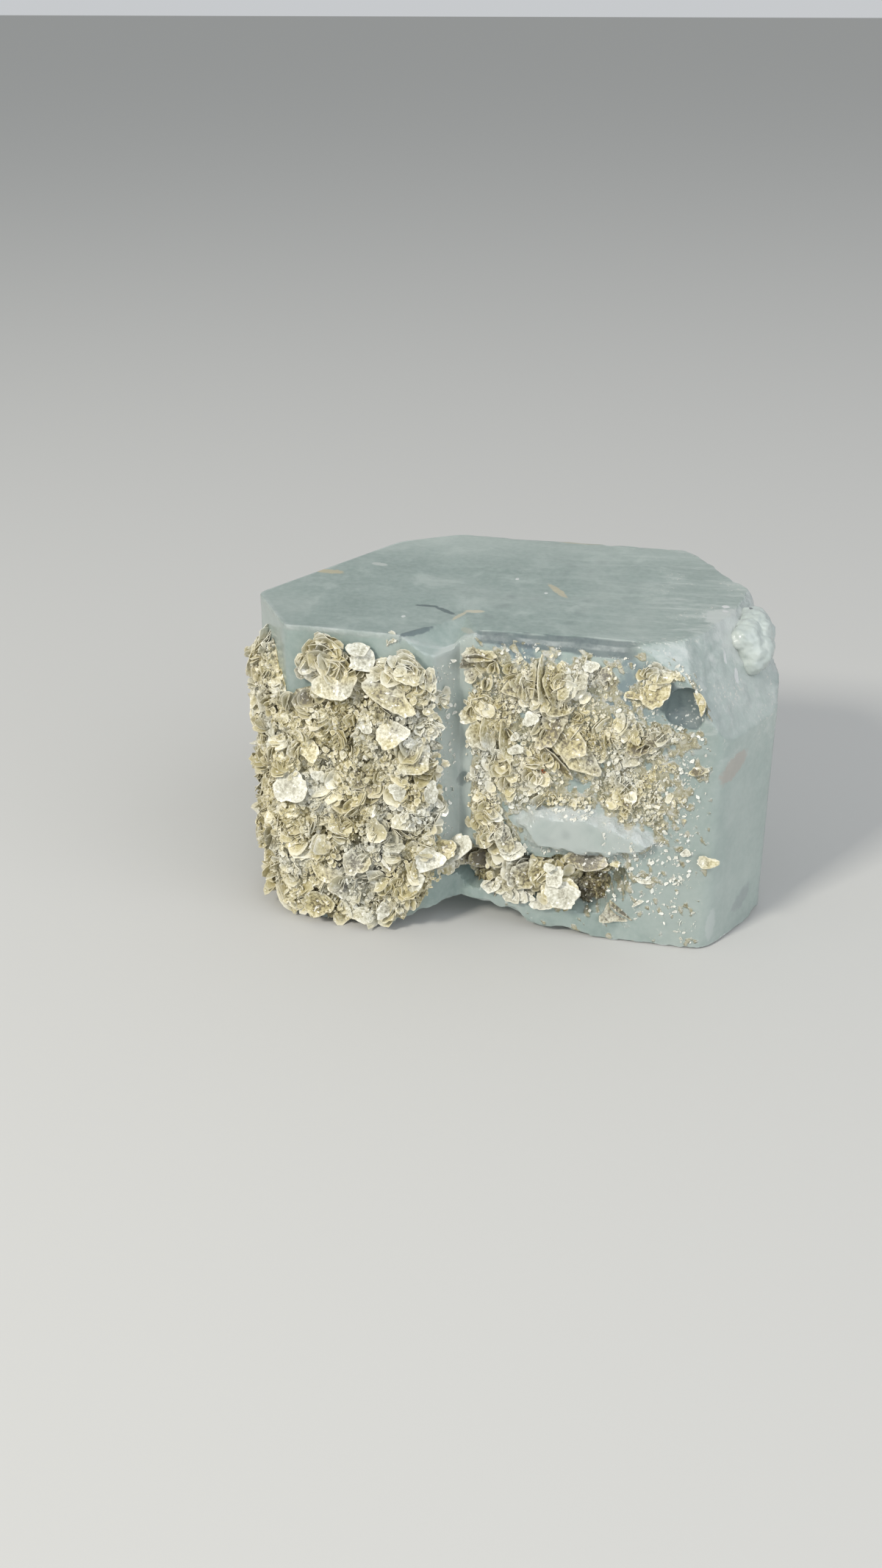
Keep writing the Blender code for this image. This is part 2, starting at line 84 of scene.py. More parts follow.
# Rounded breaks: centre, radii, frost
HOLLOWS = (
    ((20.6, -2.0, -3.5), (10.6, 13.0, 7.4), 0.30),
    ((31.0, -2.0, -5.0), (9.0, 12.0, 6.2), 0.30),
    ((44.3, -1.0, 30.0), (2.7, 2.3, 2.9), 0.0),
    ((33.3, 36.9, 37.5), (2.4, 3.0, 5.0), 0.4),
    ((13.0, 37.5, -2.0), (9.0, 6.5, 5.5), 0.5),
)
LEDGE = ((26.4, 14.2), (28.0, 16.6), (33.5, 17.0), (38.5, 15.6), (42.6, 13.6), (40.5, 12.0), (34.5, 11.2),
         (28.5, 11.4))
LEDGE_RISE = 1.6
POCKET = ((17.3, 7.4), (19.5, 9.9), (24.5, 10.7), (29.0, 10.1), (34.0, 10.7), (38.6, 9.8), (39.7, 7.6),
          (36.4, 3.6), (33.2, 3.2), (28.0, 4.1), (24.0, 4.5), (20.3, 5.2))
POCKET_DEPTH = 2.9

# Growth steps: the face, start and end along it, bottom, top, height above the face
GROWTH_STEPS = (
    (RIGHT_FACES[2], -11.0, -1.0, 6.5, 27.0, 0.40),
    (BACK_FACES[0], -8.0, 4.5, 5.0, 31.0, 0.40),
    (BACK_FACES[0], 6.5, 11.0, 9.0, 30.0, 0.30),
    (BACK_FACES[2], -6.0, 3.5, 8.0, 27.0, 0.35),
)

WINDOW = ((42.5, 33.0), (45.6, 31.2), (46.1, 29.0), (45.5, 27.8), (42.8, 28.4), (41.5, 29.7))

# Where mica clings to the right lobe: middle x and z, half width, half height, how densely
RIGHT_PATCHES = (
    (28.6, 30.2, 5.2, 3.8, 1.05), (22.0, 26.6, 1.9, 3.4, 1.00), (25.6, 20.8, 5.0, 3.2, 1.15),
    (32.2, 25.0, 3.6, 2.4, 1.00), (40.2, 25.8, 2.6, 1.6, 0.85), (39.0, 19.6, 2.8, 2.2, 0.85),
    (22.3, 15.8, 1.6, 2.8, 1.00), (40.8, 32.2, 2.0, 1.9, 0.85), (33.6, 33.0, 2.6, 1.3, 0.80),
    (37.0, 28.6, 3.0, 2.4, 0.45), (22.0, 33.8, 1.7, 0.9, 0.70), (46.2, 23.0, 0.8, 0.7, 0.55),
    (31.0, 17.6, 4.6, 0.8, 0.80), (43.0, 33.8, 1.8, 0.7, 0.55), (45.8, 30.2, 0.5, 1.7, 0.75),
    (43.4, 26.8, 2.6, 1.0, 0.55), (42.4, 20.6, 3.4, 4.4, 0.42), (36.4, 22.4, 3.4, 3.2, 0.50),
    (24.6, 30.8, 2.6, 3.0, 0.50), (40.8, 15.6, 3.6, 2.4, 0.42), (38.6, 8.6, 3.4, 2.6, 0.42),
    (23.8, 12.8, 2.2, 1.8, 1.00),
)


def to_frame(points):
    """From millimetres off the front left corner to the model's frame: take MIDDLE away, times 0.001."""
    return (np.asarray(points) - MIDDLE) * 0.001


def mesh_piece(name, points, faces, values=None, sharp=35.0):
    """An object from points in mm and an array of faces with one number of corners, with named values."""
    mesh = bpy.data.meshes.new(name)
    mesh.vertices.add(len(points))
    mesh.vertices.foreach_set("co", to_frame(points).astype(np.float32).ravel())
    mesh.loops.add(faces.size)
    mesh.loops.foreach_set("vertex_index", faces.astype(np.int32).ravel())
    mesh.polygons.add(len(faces))
    mesh.polygons.foreach_set("loop_start", np.arange(0, faces.size, faces.shape[1], dtype=np.int32))
    mesh.update(calc_edges=True)
    for key, column in (values or {}).items():
        mesh.attributes.new(key, "FLOAT", "POINT").data.foreach_set("value", column.astype(np.float32))
    mesh.shade_smooth()
    mesh.set_sharp_from_angle(angle=np.radians(sharp))
    made = bpy.data.objects.new(name, mesh)
    bpy.context.scene.collection.objects.link(made)
    return made


def smooth_step(low, high, value):
    """0 below low, 1 above high, and 3t^2 - 2t^3 between, with t the share of the way."""
    t = np.clip((value - low) / (high - low), 0.0, 1.0)
    return t * t * (3.0 - 2.0 * t)


def ripple(points, wavelength, seed, waves=14):
    """Rough noise near -1..1: the mean of sines of waves in random directions, of about one wavelength."""
    chance = np.random.default_rng(seed)
    total = np.zeros(len(points))
    for _ in range(waves):
        heading = chance.normal(size=points.shape[1])
        heading *= 2 * np.pi / (wavelength * chance.uniform(0.7, 1.5) * np.linalg.norm(heading))
        total += np.sin(points @ heading + chance.uniform(0, 2 * np.pi))
    return total / waves**0.5


def facing(degrees):
    """The plan direction at an angle: its cosine and sine."""
    return np.array([np.cos(np.radians(degrees)), np.sin(np.radians(degrees))])


def meeting(face_a, face_b):
    """Where two side faces meet in plan: the point at both distances from HEART."""
    return HEART + np.linalg.solve([facing(face_a[0]), facing(face_b[0])], [face_a[1], face_b[1]])


def on_face(face, x):
    """The plan point of a side face at x."""
    out = facing(face[0])
    return np.array([x, HEART[1] + (face[1] - out[0] * (x - HEART[0])) / out[1]])


def polygon_distance(x, z, polygon):
    """Distance inside an outline, negative outside: the nearest edge's distance, signed by crossings."""
    corners = np.array(polygon)
    nearest = np.full(x.shape, 1e9)
    inside = np.zeros(x.shape, bool)
    for (ax, az), (bx, bz) in zip(corners, np.roll(corners, -1, axis=0)):
        wide, tall = bx - ax, bz - az
        along = np.clip(((x - ax) * wide + (z - az) * tall) / (wide**2 + tall**2), 0, 1)
        nearest = np.minimum(nearest, np.hypot(x - ax - along * wide, z - az - along * tall))
        inside ^= ((az > z) != (bz > z)) & (x < wide * (z - az) / (tall + 1e-12) + ax)
    return np.where(inside, nearest, -nearest)


def right_cover(x, z, spread=0.0):
    """How much of the right lobe mica hides, 0 to 1: a sum of soft patches, frayed by ripples."""
    total = np.zeros(x.shape)
    for middle_x, middle_z, half_x, half_z, weight in RIGHT_PATCHES:
        away = ((x - middle_x) / half_x) ** 2 + ((z - middle_z) / half_z) ** 2
        total += weight * np.exp(-0.8 * away)
    place = np.column_stack([x.ravel(), z.ravel()])
    frayed = 0.20 * ripple(place, 3.0, 31) + 0.20 * ripple(place, 1.2, 32)
    clear = polygon_distance(x, z, WINDOW) > -0.1
    return np.where(clear, 0.0, smooth_step(0.40, 1.0, total + spread + frayed.reshape(x.shape)))


FRONT_PLAN = np.array([
    meeting(LEFT_FACE, FRONT_LEFT_LOBE), on_face(FRONT_LEFT_LOBE, LOBE_END_X), *STEP,
    on_face(FRONT_RIGHT_LOBE, RIGHT_LOBE_START_X), meeting(FRONT_RIGHT_LOBE, RIGHT_FACES[0]),
])


def prism_grid():
    """Points of the closed prism, row by row: rings in from the top's middle, rows down, rings in below.

    The columns run round the outline, and a ring is the outline drawn in towards HEART by a share.
    """
    ring = [FRONT_RIGHT_LOBE, *RIGHT_FACES, *BACK_FACES, LEFT_FACE]
    corners = [*FRONT_PLAN[:5], *(meeting(a, b) for a, b in zip(ring, ring[1:]))]
    spacings = [GRID_FRONT] * 5 + [GRID_RIGHT] * 3 + [GRID_BACK] * 3 + [GRID_RIGHT]
    runs = []
    for start, end, spacing in zip(corners, corners[1:] + corners[:1], spacings):
        count = max(2, round(float(np.linalg.norm(end - start)) / spacing))
        runs.append(start + (end - start) * np.arange(count)[:, None] / count)
    plan = np.concatenate(runs)
    worn = np.exp(-(((plan - SOFT_EDGE) ** 2).sum(axis=1) / 9.0))[:, None]
    for step in range(40):
        even = 0.5 * plan + 0.25 * (np.roll(plan, 1, axis=0) + np.roll(plan, -1, axis=0))
        plan = even if step < 2 else plan + worn * (even - plan)
    rows = [(share, HEIGHT) for share in (np.arange(1, CAP_RINGS) / CAP_RINGS) ** 0.85]
    rows += [(1 - inwards / RIM_RADIUS, HEIGHT - down) for inwards, down in RIM_ROUND]
    rows += [(1.0, z) for z in np.linspace(HEIGHT - 0.2, 0.0, round(HEIGHT / GRID_UP))[1:]]
    rows += [(share, 0.0) for share in (np.arange(BASE_RINGS - 1, 0, -1) / BASE_RINGS) ** 0.85]
    return np.array([np.column_stack([HEART + (plan - HEART) * share, np.full(len(plan), z)])
                     for share, z in rows])


def tube_faces(rows, columns):
    """Quads between neighbouring rows of a grid that closes on itself sideways."""
    here = np.arange(rows * columns).reshape(rows, columns)
    there = np.roll(here, -1, axis=1)
    return np.stack([here[:-1], here[1:], there[1:], there[:-1]], axis=-1).reshape(-1, 4)


def in_halves(quads):
    """Each quad as two triangles."""
    return np.concatenate([quads[:, [0, 1, 2]], quads[:, [0, 2, 3]]])


def fan_over(ring):
    """Triangles that close a ring of points, all from its first point."""
    return np.stack([ring[:-2] * 0 + ring[0], ring[1:-1], ring[2:]], axis=-1)


def beyond(points, origin, place, outward, rough):
    """How far out along its ray from origin each point may stay, before a plane of uneven depth."""
    outward = np.array(outward) / np.linalg.norm(outward)
    reach = (points - origin) @ outward
    limit = (np.array(place) - origin) @ outward - rough
    return np.where(reach > limit, limit / np.maximum(reach, 1e-6), 1.0)


def drawn_in(points, origin, share):
    """Points moved along their rays to a share of their distance from origin."""
    return origin + (points - origin) * share[:, None]


def beryl_form():
    """The crystal's grid with its breaks, how frosted each point is, and how much painted shade it has."""
    grid = prism_grid()
    flat = grid.reshape(-1, 3)
    points = flat.copy()
    frost = np.zeros(len(points))
    origin = np.array([*HEART, 0.5 * HEIGHT])
    wavy, rough, fine = ripple(flat, 9.0, 3), ripple(flat, 2.4, 4), ripple(flat, 1.0, 5)
    for place, outward, depth, white in BREAKS:
        share = beyond(points, origin, place, outward, depth * (0.7 * wavy + 0.35 * rough + 0.12 * fine))
        points = drawn_in(points, origin, share)
        frost = np.maximum(frost, white * smooth_step(0.0, 0.010, 1 - share))
    share = beyond(points, origin, *RIM_BEVEL, 0.10 * wavy + 0.06 * rough)
    within = smooth_step(0.0, 0.8, points[:, 0] - RIM_BEVEL_X[0])
    within *= smooth_step(0.0, 1.5, RIM_BEVEL_X[1] - points[:, 0])
    share = 1 - within * (1 - share)
    # Painted shade: the worn bevel under the top rim is painted dark
    shade = 0.9 * within * smooth_step(0.0005, 0.006, 1 - share + 0.0012 * rough)
    points = drawn_in(points, origin, share)
    place, lean_left, lean_right = VALLEY
    share = np.maximum(beyond(points, origin, place, lean_left, 0.10 * wavy),
                       beyond(points, origin, place, lean_right, 0.15 * wavy))
    points = drawn_in(points, origin, share)
    for centre, radii, white in HOLLOWS:
        local = (points - centre) / radii
        depth = np.linalg.norm(local, axis=1) + 0.03 * rough
        moved = np.array(centre) + local / np.maximum(depth, 0.2)[:, None] * radii
        points = np.where((depth < 1.0)[:, None], moved, points)
        frost = np.maximum(frost, white * smooth_step(1.0, 0.93, depth))
    ring = np.repeat(np.arange(grid.shape[0]), grid.shape[1])
    frost = np.maximum(frost, (np.abs(ring - CAP_RINGS - 0.5) < 2) * (0.35 + 0.15 * rough))
    return grid.shape, points, flat, frost, shade, (wavy, rough, fine)


def on_sides(flat):
    """Where the unbroken prism's grid is on its side faces, off the top's rim and the base."""
    return (flat[:, 2] > 0.001) & (flat[:, 2] < HEIGHT - 0.25)


def beryl_relief(points, flat, frost, shade, noises):
    """Moves the front in for the pocket and out for the ledge, and the back out for its growth steps."""
    wavy, rough, fine = noises
    x, y, z = flat.T
    side = on_sides(flat)
    front = side & (y < FRONT_BACK_Y) & (x > FRONT_X[0]) & (x < FRONT_X[1])
    pocket = polygon_distance(x, z, POCKET) + 0.25 * rough + 0.15 * fine
    ledge = polygon_distance(x, z, LEDGE) + 0.18 * rough + 0.10 * fine
    inwards = POCKET_DEPTH * smooth_step(-0.1, 0.9, pocket) * (0.85 + 0.12 * wavy)
    outwards = LEDGE_RISE * smooth_step(-0.2, 1.0, ledge) * (1 + 0.05 * wavy)
    points[:, 1] += np.where(front, inwards - outwards, 0.0)
    # pale is painted light: the ledge's upturned face and the groove that the left lobe shades are painted
    # lighter
    in_groove = smooth_step(*GROOVE_X[:2], x) * smooth_step(*GROOVE_X[:1:-1], x) * smooth_step(6.0, 9.0, z)
    pale = np.where(front, np.maximum(smooth_step(-0.4, 0.4, ledge), in_groove), 0.0)
    upper = 0.35 + 0.65 * smooth_step(13.0, 15.0, z + 0.12 * (x - 30))
    ledge_rim = smooth_step(1.3, 0.2, np.abs(ledge - 0.2)) * upper
    frost = np.where(front, np.maximum(frost, ledge_rim), frost)
    # Painted shade: the window in its hollow is painted dark
    window = 0.85 * smooth_step(-0.15, 0.15, polygon_distance(x, z, WINDOW))
    shade = np.where(front, np.maximum(shade, window), shade)
    for face, start, end, bottom, top, height in GROWTH_STEPS:
        out = facing(face[0])
        along = (flat[:, :2] - HEART) @ np.array([-out[1], out[0]])
        near = side & ((flat[:, :2] - HEART) @ out > face[1] - 0.6)
        within = np.minimum(np.minimum(along - start, end - along), np.minimum(z - bottom, top - z))
        raised = np.where(near, height * smooth_step(0.0, 0.5, within + 0.15 * rough), 0.0)
        points[:, :2] += raised[:, None] * out
    base = z < 0.001
    points[:, 2] += np.where(base, 0.16 * (1 + np.tanh(rough)) + 0.08 * (1 + np.tanh(fine)), 0.0)
    frost = np.where(base, np.maximum(frost, 0.6), frost)
    crusted = np.where(front & (x > 20.8), right_cover(x, z, 0.34) * (1 - smooth_step(-0.2, 0.5, ledge)), 0.0)
    return points, frost, shade, pale, crusted


def striate(points, flat):
    """Fine upright stripes on the sides, low terraces on the top: sines round the prism, stepped ripples."""
    out = flat[:, :2] - HEART
    out /= np.maximum(np.linalg.norm(out, axis=1), 1e-6)[:, None]
    round_it = MEAN_RADIUS * np.arctan2(out[:, 1], out[:, 0])
    depth = 0.012 * np.sin(2.9 * round_it) + 0.008 * np.sin(7.1 * round_it + 0.7)
    depth = depth + 0.025 * ripple(flat, 7.0, 9)
    points[:, :2] += np.where(on_sides(flat), depth, 0.0)[:, None] * out
    top = flat[:, 2] > HEIGHT - 0.001
    terrace = ripple(flat * [1.0, 1.4, 1.0], 13.0, 10)
    lower = 0.05 * smooth_step(-0.05, 0.05, terrace) + 0.03 * smooth_step(0.6, 0.7, terrace)
    points[:, 2] -= np.where(top, lower, 0.0)
    return points


def set_inputs(tree, node, **inputs):
    """Inputs of a node set to values or linked to other nodes' outputs; i0 is the first by number."""
    for key, value in inputs.items():
        numbered = key[0] == "i" and key[1:].isdigit()
        socket = node.inputs[int(key[1:]) if numbered else key.replace("_", " ")]
        if isinstance(value, bpy.types.NodeSocket):
            tree.links.new(value, socket)
        else:
            socket.default_value = value
    return node


def add_node(tree, kind, settings=None, **inputs):
    """A new node with its settings and inputs."""
    node = tree.nodes.new(kind)
    for key, value in (settings or {}).items():
        setattr(node, key, value)
    return set_inputs(tree, node, **inputs)


def new_finish(name):
    """A new material, its node tree and the place on the piece, from which all its patterns come."""
    material = bpy.data.materials.new(name)
    material.use_nodes = True
    tree = material.node_tree
    return material, tree, add_node(tree, "ShaderNodeTexCoord").outputs["Object"]


def set_surface(tree, relief, strength, depth, **inputs):
    """The surface's inputs, with its finest relief as a bump of a depth in metres."""
    bump = add_node(tree, "ShaderNodeBump", Strength=strength, Distance=depth, Height=relief)
    set_inputs(tree, tree.nodes["Principled BSDF"], Normal=bump.outputs["Normal"], **inputs)


def linear(hex_colour):
    """An sRGB hex colour as linear red, green, blue and 1."""
    levels = np.array([int(hex_colour[i : i + 2], 16) for i in (1, 3, 5)]) / 255
    return (*np.where(levels <= 0.04045, levels / 12.92, ((levels + 0.055) / 1.055) ** 2.4), 1.0)


def ramp(tree, factor, *stops):
    """Colours by a factor, from (position, hex) stops."""
    node = add_node(tree, "ShaderNodeValToRGB", i0=factor)
    elements = node.color_ramp.elements
    while len(elements) < len(stops):
        elements.new(0.5)
    for element, (place, colour) in zip(elements, stops):
        element.position = place
        element.color = linear(colour)
    return node.outputs["Color"]


def layered(tree, colour, *layers):
    """A colour with layers blended over it one by one, each a factor and a hex or linked colour."""
    for factor, tint in layers:
        tint = linear(tint) if isinstance(tint, str) else tint
        mix = add_node(tree, "ShaderNodeMix", {"data_type": "RGBA"}, i0=factor, i6=colour, i7=tint)
        colour = mix.outputs[2]
    return colour


def arithmetic(tree, operation, first, *others):
    """One operation on numbers; MULTIPLY, ADD, SUBTRACT and MAXIMUM take in the others one by one."""
    for values in [others] if operation in ("MULTIPLY_ADD", "SINE") else [(value,) for value in others]:
        inputs = {f"i{n}": value for n, value in enumerate((first, *values))}
        first = add_node(tree, "ShaderNodeMath", {"operation": operation}, **inputs).outputs[0]
    return first


def times(tree, *values):
    """The product of all the values."""
    return arithmetic(tree, "MULTIPLY", *values)


def noise(tree, place, size_mm, detail=4.0, roughness=0.6, distortion=0.0):
    """Noise with lumps of about size_mm."""
    return add_node(tree, "ShaderNodeTexNoise", Vector=place, Scale=1000.0 / size_mm, Detail=detail,
                    Roughness=roughness, Distortion=distortion).outputs["Fac"]


def fit(tree, value, low, high, first=0.0, last=1.0):
    """A value from low..high to first..last, eased and held at both ends."""
    return add_node(tree, "ShaderNodeMapRange", {"interpolation_type": "SMOOTHSTEP"},
                    i0=value, i1=low, i2=high, i3=first, i4=last).outputs[0]


def attributes(tree, *names):
    """The named values of the mesh."""
    return [add_node(tree, "ShaderNodeAttribute", {"attribute_name": name}).outputs["Fac"] for name in names]


def ragged_mark(tree, place, ragged, start, end, half_width, depth):
    """1 inside a ragged ellipsoid that runs from start to end, both on the top or both on the front."""
    start, end = np.array(start), np.array(end)
    run = end - start
    half_length = 0.5 * np.linalg.norm(run) + 0.3 * half_width
    if abs(run[2]) < 0.01:
        turn, sizes = (0, 0, np.arctan2(run[1], run[0])), (half_length, half_width, depth)
    else:
        turn, sizes = (0, -np.arctan2(run[2], run[0]), 0), (half_length, depth, half_width)
    local = add_node(tree, "ShaderNodeMapping", {"vector_type": "TEXTURE"}, Vector=place,
                     Location=to_frame(0.5 * (start + end)), Rotation=turn, Scale=np.array(sizes) * 0.001)
    size = add_node(tree, "ShaderNodeVectorMath", {"operation": "LENGTH"}, i0=local.outputs[0])
    return fit(tree, arithmetic(tree, "MULTIPLY_ADD", ragged, 0.9, size.outputs["Value"]), 1.45, 1.15)


# Marks seen just under the faces: start and end on the face, half width, depth, tint, strength
MARKS = {
    "veil_back_left": ((13.1, 8.7, 37.0), (15.8, 8.5, 37.0), 0.40, 3.0, "#5d6d6f", 0.85),
    "veil_back_right": ((15.3, 8.6, 37.0), (18.2, 6.1, 37.0), 0.42, 3.0, "#5d6d6f", 0.85),
    "veil_front": ((13.1, -1.2, 37.0), (16.5, 2.6, 37.0), 0.42, 3.0, "#6a7a7f", 0.8),
    "crack_left": ((18.0, 4.7, 37.0), (19.2, 7.5, 37.0), 0.34, 4.0, "#ddd5bb", 0.9),
    "crack_right": ((18.8, 7.5, 37.0), (21.2, 7.7, 37.0), 0.52, 4.0, "#e2dac2", 0.9),
    "crack_tail": ((19.0, 4.6, 37.0), (20.9, 1.5, 37.0), 0.30, 5.0, "#c8c8b8", 0.7),
    "feather": ((27.2, 18.2, 37.0), (29.9, 13.6, 37.0), 0.55, 3.0, "#d9ceb0", 0.85),
    "left_stain": ((-1.4, 18.6, 37.0), (2.7, 18.3, 37.0), 0.85, 3.0, "#d6c9a6", 0.85),
    "left_fleck": ((5.1, 22.2, 37.0), (7.3, 21.6, 37.0), 0.55, 3.0, "#dde2dc", 0.8),
    "back_stain": ((24.4, 35.2, 37.0), (32.6, 34.4, 37.0), 0.85, 3.0, "#d2cbb2", 0.7),
    # Painted highlights: small white glints on the top
    "painted_glint_top_back": ((23.2, 19.4, 37.0), (23.5, 19.4, 37.0), 0.42, 3.0, "#f2f5f2", 1.0),
    "painted_glint_top_middle": ((27.1, 15.1, 37.0), (27.4, 15.1, 37.0), 0.38, 3.0, "#f2f5f2", 1.0),
    "painted_glint_top_front": ((12.3, 4.7, 37.0), (12.6, 4.7, 37.0), 0.40, 3.0, "#f2f5f2", 1.0),
    "buff_patch": ((48.6, 3.0, 21.0), (51.0, 3.0, 23.8), 1.25, 6.0, "#c9b6aa", 0.6),
    "white_streak": ((48.75, 1.0, 0.9), (48.9, 1.0, 5.1), 0.62, 4.0, "#dfe6e2", 0.7),
    "grey_patch": ((51.6, 4.0, 2.4), (53.2, 4.0, 5.4), 1.0, 6.0, "#8f949c", 0.4),
    # Milky haze round the quartz, painted brighter than its own colour: painted light on a slope the lamp
    # leaves in shade
    "quartz_haze_painted_light": ((46.4, 7.6, 34.8), (50.0, 13.4, 34.8), 3.6, 5.0, "#e9eeea", 0.8),
    # Painted highlights: small white glints on the slope by the quartz
    "painted_glint_slope_low": ((49.3, 6.9, 31.5), (49.8, 7.1, 31.5), 0.55, 1.3, "#fbfcfb", 1.0),
    "painted_glint_slope_left": ((47.6, 12.2, 37.0), (48.0, 12.5, 37.0), 0.50, 1.3, "#fbfcfb", 1.0),
    "painted_glint_slope_back": ((47.5, 13.8, 37.0), (48.1, 14.0, 37.0), 0.58, 1.3, "#fbfcfb", 1.0),
    "painted_glint_slope_mid": ((48.0, 6.6, 33.9), (48.3, 6.7, 33.9), 0.45, 1.2, "#fbfcfb", 1.0),
    "groove_dark_patch": ((19.4, 2.0, 18.0), (20.2, 2.0, 20.0), 0.7, 3.0, "#707b7c", 0.5),
}


def cloudy_beryl():
    """Aquamarine beryl, natural growth faces: pale blue-grey, cloudy within, glossy on its faces."""
    material, tree, place = new_finish("aquamarine_cloudy")
    x, y, z = add_node(tree, "ShaderNodeSeparateXYZ", i0=place).outputs
    shade, frost, pale, crusted = attributes(tree, "shade", "frost", "pale", "crusted")
    wisp, streak = noise(tree, place, 4.0, 5.0, 0.6, 0.6), noise(tree, place, 0.9)
    marbled = noise(tree, place, 1.1, 5.0, 0.68, 0.8)
    on_top = fit(tree, z, 0.0362, 0.0368)
    upper_right = times(tree, fit(tree, x, 0.012, 0.022), fit(tree, z, 0.020, 0.028))
    # Inclusions drawn out into fine streaks: over the top to the right, and aslant in the upper right.
    # Limits on x, y and z here are in the model's own frame, in metres
    stretched = [
        add_node(tree, "ShaderNodeMapping", Vector=place, Rotation=turn, Scale=(scale, 1.0, 1.0)).outputs[0]
        for turn, scale in (((0, 0, -0.65), 0.16), ((0, 0.62, 0), 0.22))
    ]
    feathers = fit(tree, noise(tree, stretched[1], 1.3), 0.50, 0.70)
    streaks = times(tree, fit(tree, noise(tree, stretched[0], 1.6), 0.47, 0.66, 0.0, 0.34),
                    fit(tree, x, -0.012, 0.018, 0.25, 1.0), fit(tree, z, 0.033, 0.036))
    # Darker clear patches under the top rim of the right lobe
    deep = times(tree, fit(tree, noise(tree, place, 3.4), 0.46, 0.58, 0.0, 0.9),
                 fit(tree, z, 0.023, 0.030), fit(tree, z, 0.0367, 0.0358), fit(tree, y, -0.0120, -0.0135),
                 fit(tree, x, -0.0025, -0.0005), fit(tree, x, 0.022, 0.012))
    white = times(tree, frost, fit(tree, streak, 0.35, 0.62, 0.45, 1.0))
    # The finest mica, grown onto the face in islands, and single white specks that are painted glints
    crust = ramp(tree, marbled, (0.32, "#8f8765"), (0.43, "#b9b08c"), (0.52, "#d2cbab"), (0.61, "#e4e0cf"),
                 (0.72, "#f2f1ea"))
    islands = arithmetic(tree, "MULTIPLY_ADD", arithmetic(tree, "SUBTRACT", streak, 0.5), 1.5, crusted)
    clinging = times(tree, fit(tree, islands, 0.28, 0.62), fit(tree, crusted, 0.02, 0.2))
    painted_glint_spread = arithmetic(tree, "MAXIMUM", fit(tree, crusted, 0.0, 0.25, 0.0, 0.9),
                           times(tree, upper_right, fit(tree, wisp, 0.5, 0.6)))
    painted_glints = times(tree, fit(tree, noise(tree, place, 0.42, 3.0), 0.58, 0.64), painted_glint_spread)
    ragged = noise(tree, place, 0.8, 3.0)
    cloud = noise(tree, place, 16.0, 4.0, 0.55)
    colour = layered(
        tree, ramp(tree, cloud, (0.34, "#9aaea7"), (0.50, "#aabdb6"), (0.66, "#bfcdc6")),
        # painted shade: the top is painted a little darker
        (times(tree, on_top, 0.25), "#74837d"),
        (fit(tree, wisp, 0.50, 0.72, 0.0, 0.5), "#d0dcd5"),
        # painted sheen: lighter towards the back; painted light: lighter towards the right
        (fit(tree, y, 0.005, 0.021, 0.0, 0.45), "#d5e0d9"),
        (fit(tree, x, 0.008, 0.030, 0.0, 0.25), "#d5e0d9"),
        (streaks, "#dfe8e2"),
        (fit(tree, noise(tree, place, 0.7, 3.0), 0.30, 0.70, 0.0, 0.22), "#dfe7e2"),
        (times(tree, feathers, upper_right), "#dbe3de"),
        # painted light on the ledge and in the groove
        (times(tree, pale, fit(tree, wisp, 0.35, 0.65, 0.55, 1.0)), "#d8e0da"),
        (deep, "#7f929b"),
        # painted shade on the rim bevel and in the window
        (times(tree, shade, fit(tree, streak, 0.30, 0.55, 1.0, 0.85)), "#4c5c62"),
        (white, "#e8edea"),
        (clinging, crust),
        # painted glints
        (painted_glints, "#f0f0e8"),
        *((times(tree, ragged_mark(tree, place, ragged, *spot), strength), tint)
          for *spot, tint, strength in MARKS.values()),
    )
    white = arithmetic(tree, "MAXIMUM", white, clinging)
    unglazed = arithmetic(tree, "MAXIMUM", shade, clinging, times(tree, on_top, 0.55))
    dulled = arithmetic(tree, "MULTIPLY_ADD", white, 0.25, fit(tree, shade, 0.0, 1.0, 0.30, 0.60))
    etched = arithmetic(tree, "MULTIPLY_ADD", noise(tree, place, 0.5), fit(tree, white, 0.0, 1.0, 0.25, 2.2),
                        times(tree, marbled, clinging, 4.0))
    set_surface(tree, etched, 0.5, 0.00015, Base_Color=colour, Transmission_Weight=0.5, IOR=1.575,
                Roughness=arithmetic(tree, "MAXIMUM", dulled, times(tree, on_top, 0.50)),
                Coat_Weight=fit(tree, unglazed, 0.0, 0.6, 0.5, 0.0), Coat_Roughness=0.08)
    within = add_node(tree, "ShaderNodeVolumeAbsorption", Color=linear("#a8c4c6"), Density=14.0)
    set_inputs(tree, tree.nodes["Material Output"], Volume=within.outputs[0])
    return material


shape, points, flat, frost, shade, noises = beryl_form()
points, frost, shade, pale, crusted = beryl_relief(points, flat, frost, shade, noises)
points = striate(points, flat)
count, columns = len(points), shape[1]
turn = np.arange(columns)
last_ring = count - columns
caps = np.concatenate([
    np.stack([np.full(columns, count), turn, np.roll(turn, -1)], axis=-1),
    np.stack([last_ring + np.roll(turn, -1), last_ring + turn, np.full(columns, count + 1)], axis=-1),
])
crystal = mesh_piece(
    "beryl_crystal",
    np.concatenate([points, [[*HEART, HEIGHT - 0.04], [*HEART, 0.3]]]),
    np.concatenate([in_halves(tube_faces(shape[0], columns)), caps]),
    {"frost": np.append(frost, [0.0, 0.6]),
     **{name: np.append(value, [0.0, 0.0])
        for name, value in (("shade", shade), ("pale", pale), ("crusted", crusted))}},
    sharp=28.0,
)
crystal.data.materials.append(cloudy_beryl())
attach(crystal, "root")
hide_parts("aquamarine_crystal")

# The mica
# Muscovite, in thin elastic plates a few millimetres across. They lie in small books and in tufts that
# face every way, straw-coloured where they overlap and silver where one lies free, and are rooted in a
# flaky bed of finer mica that is grown onto the beryl.

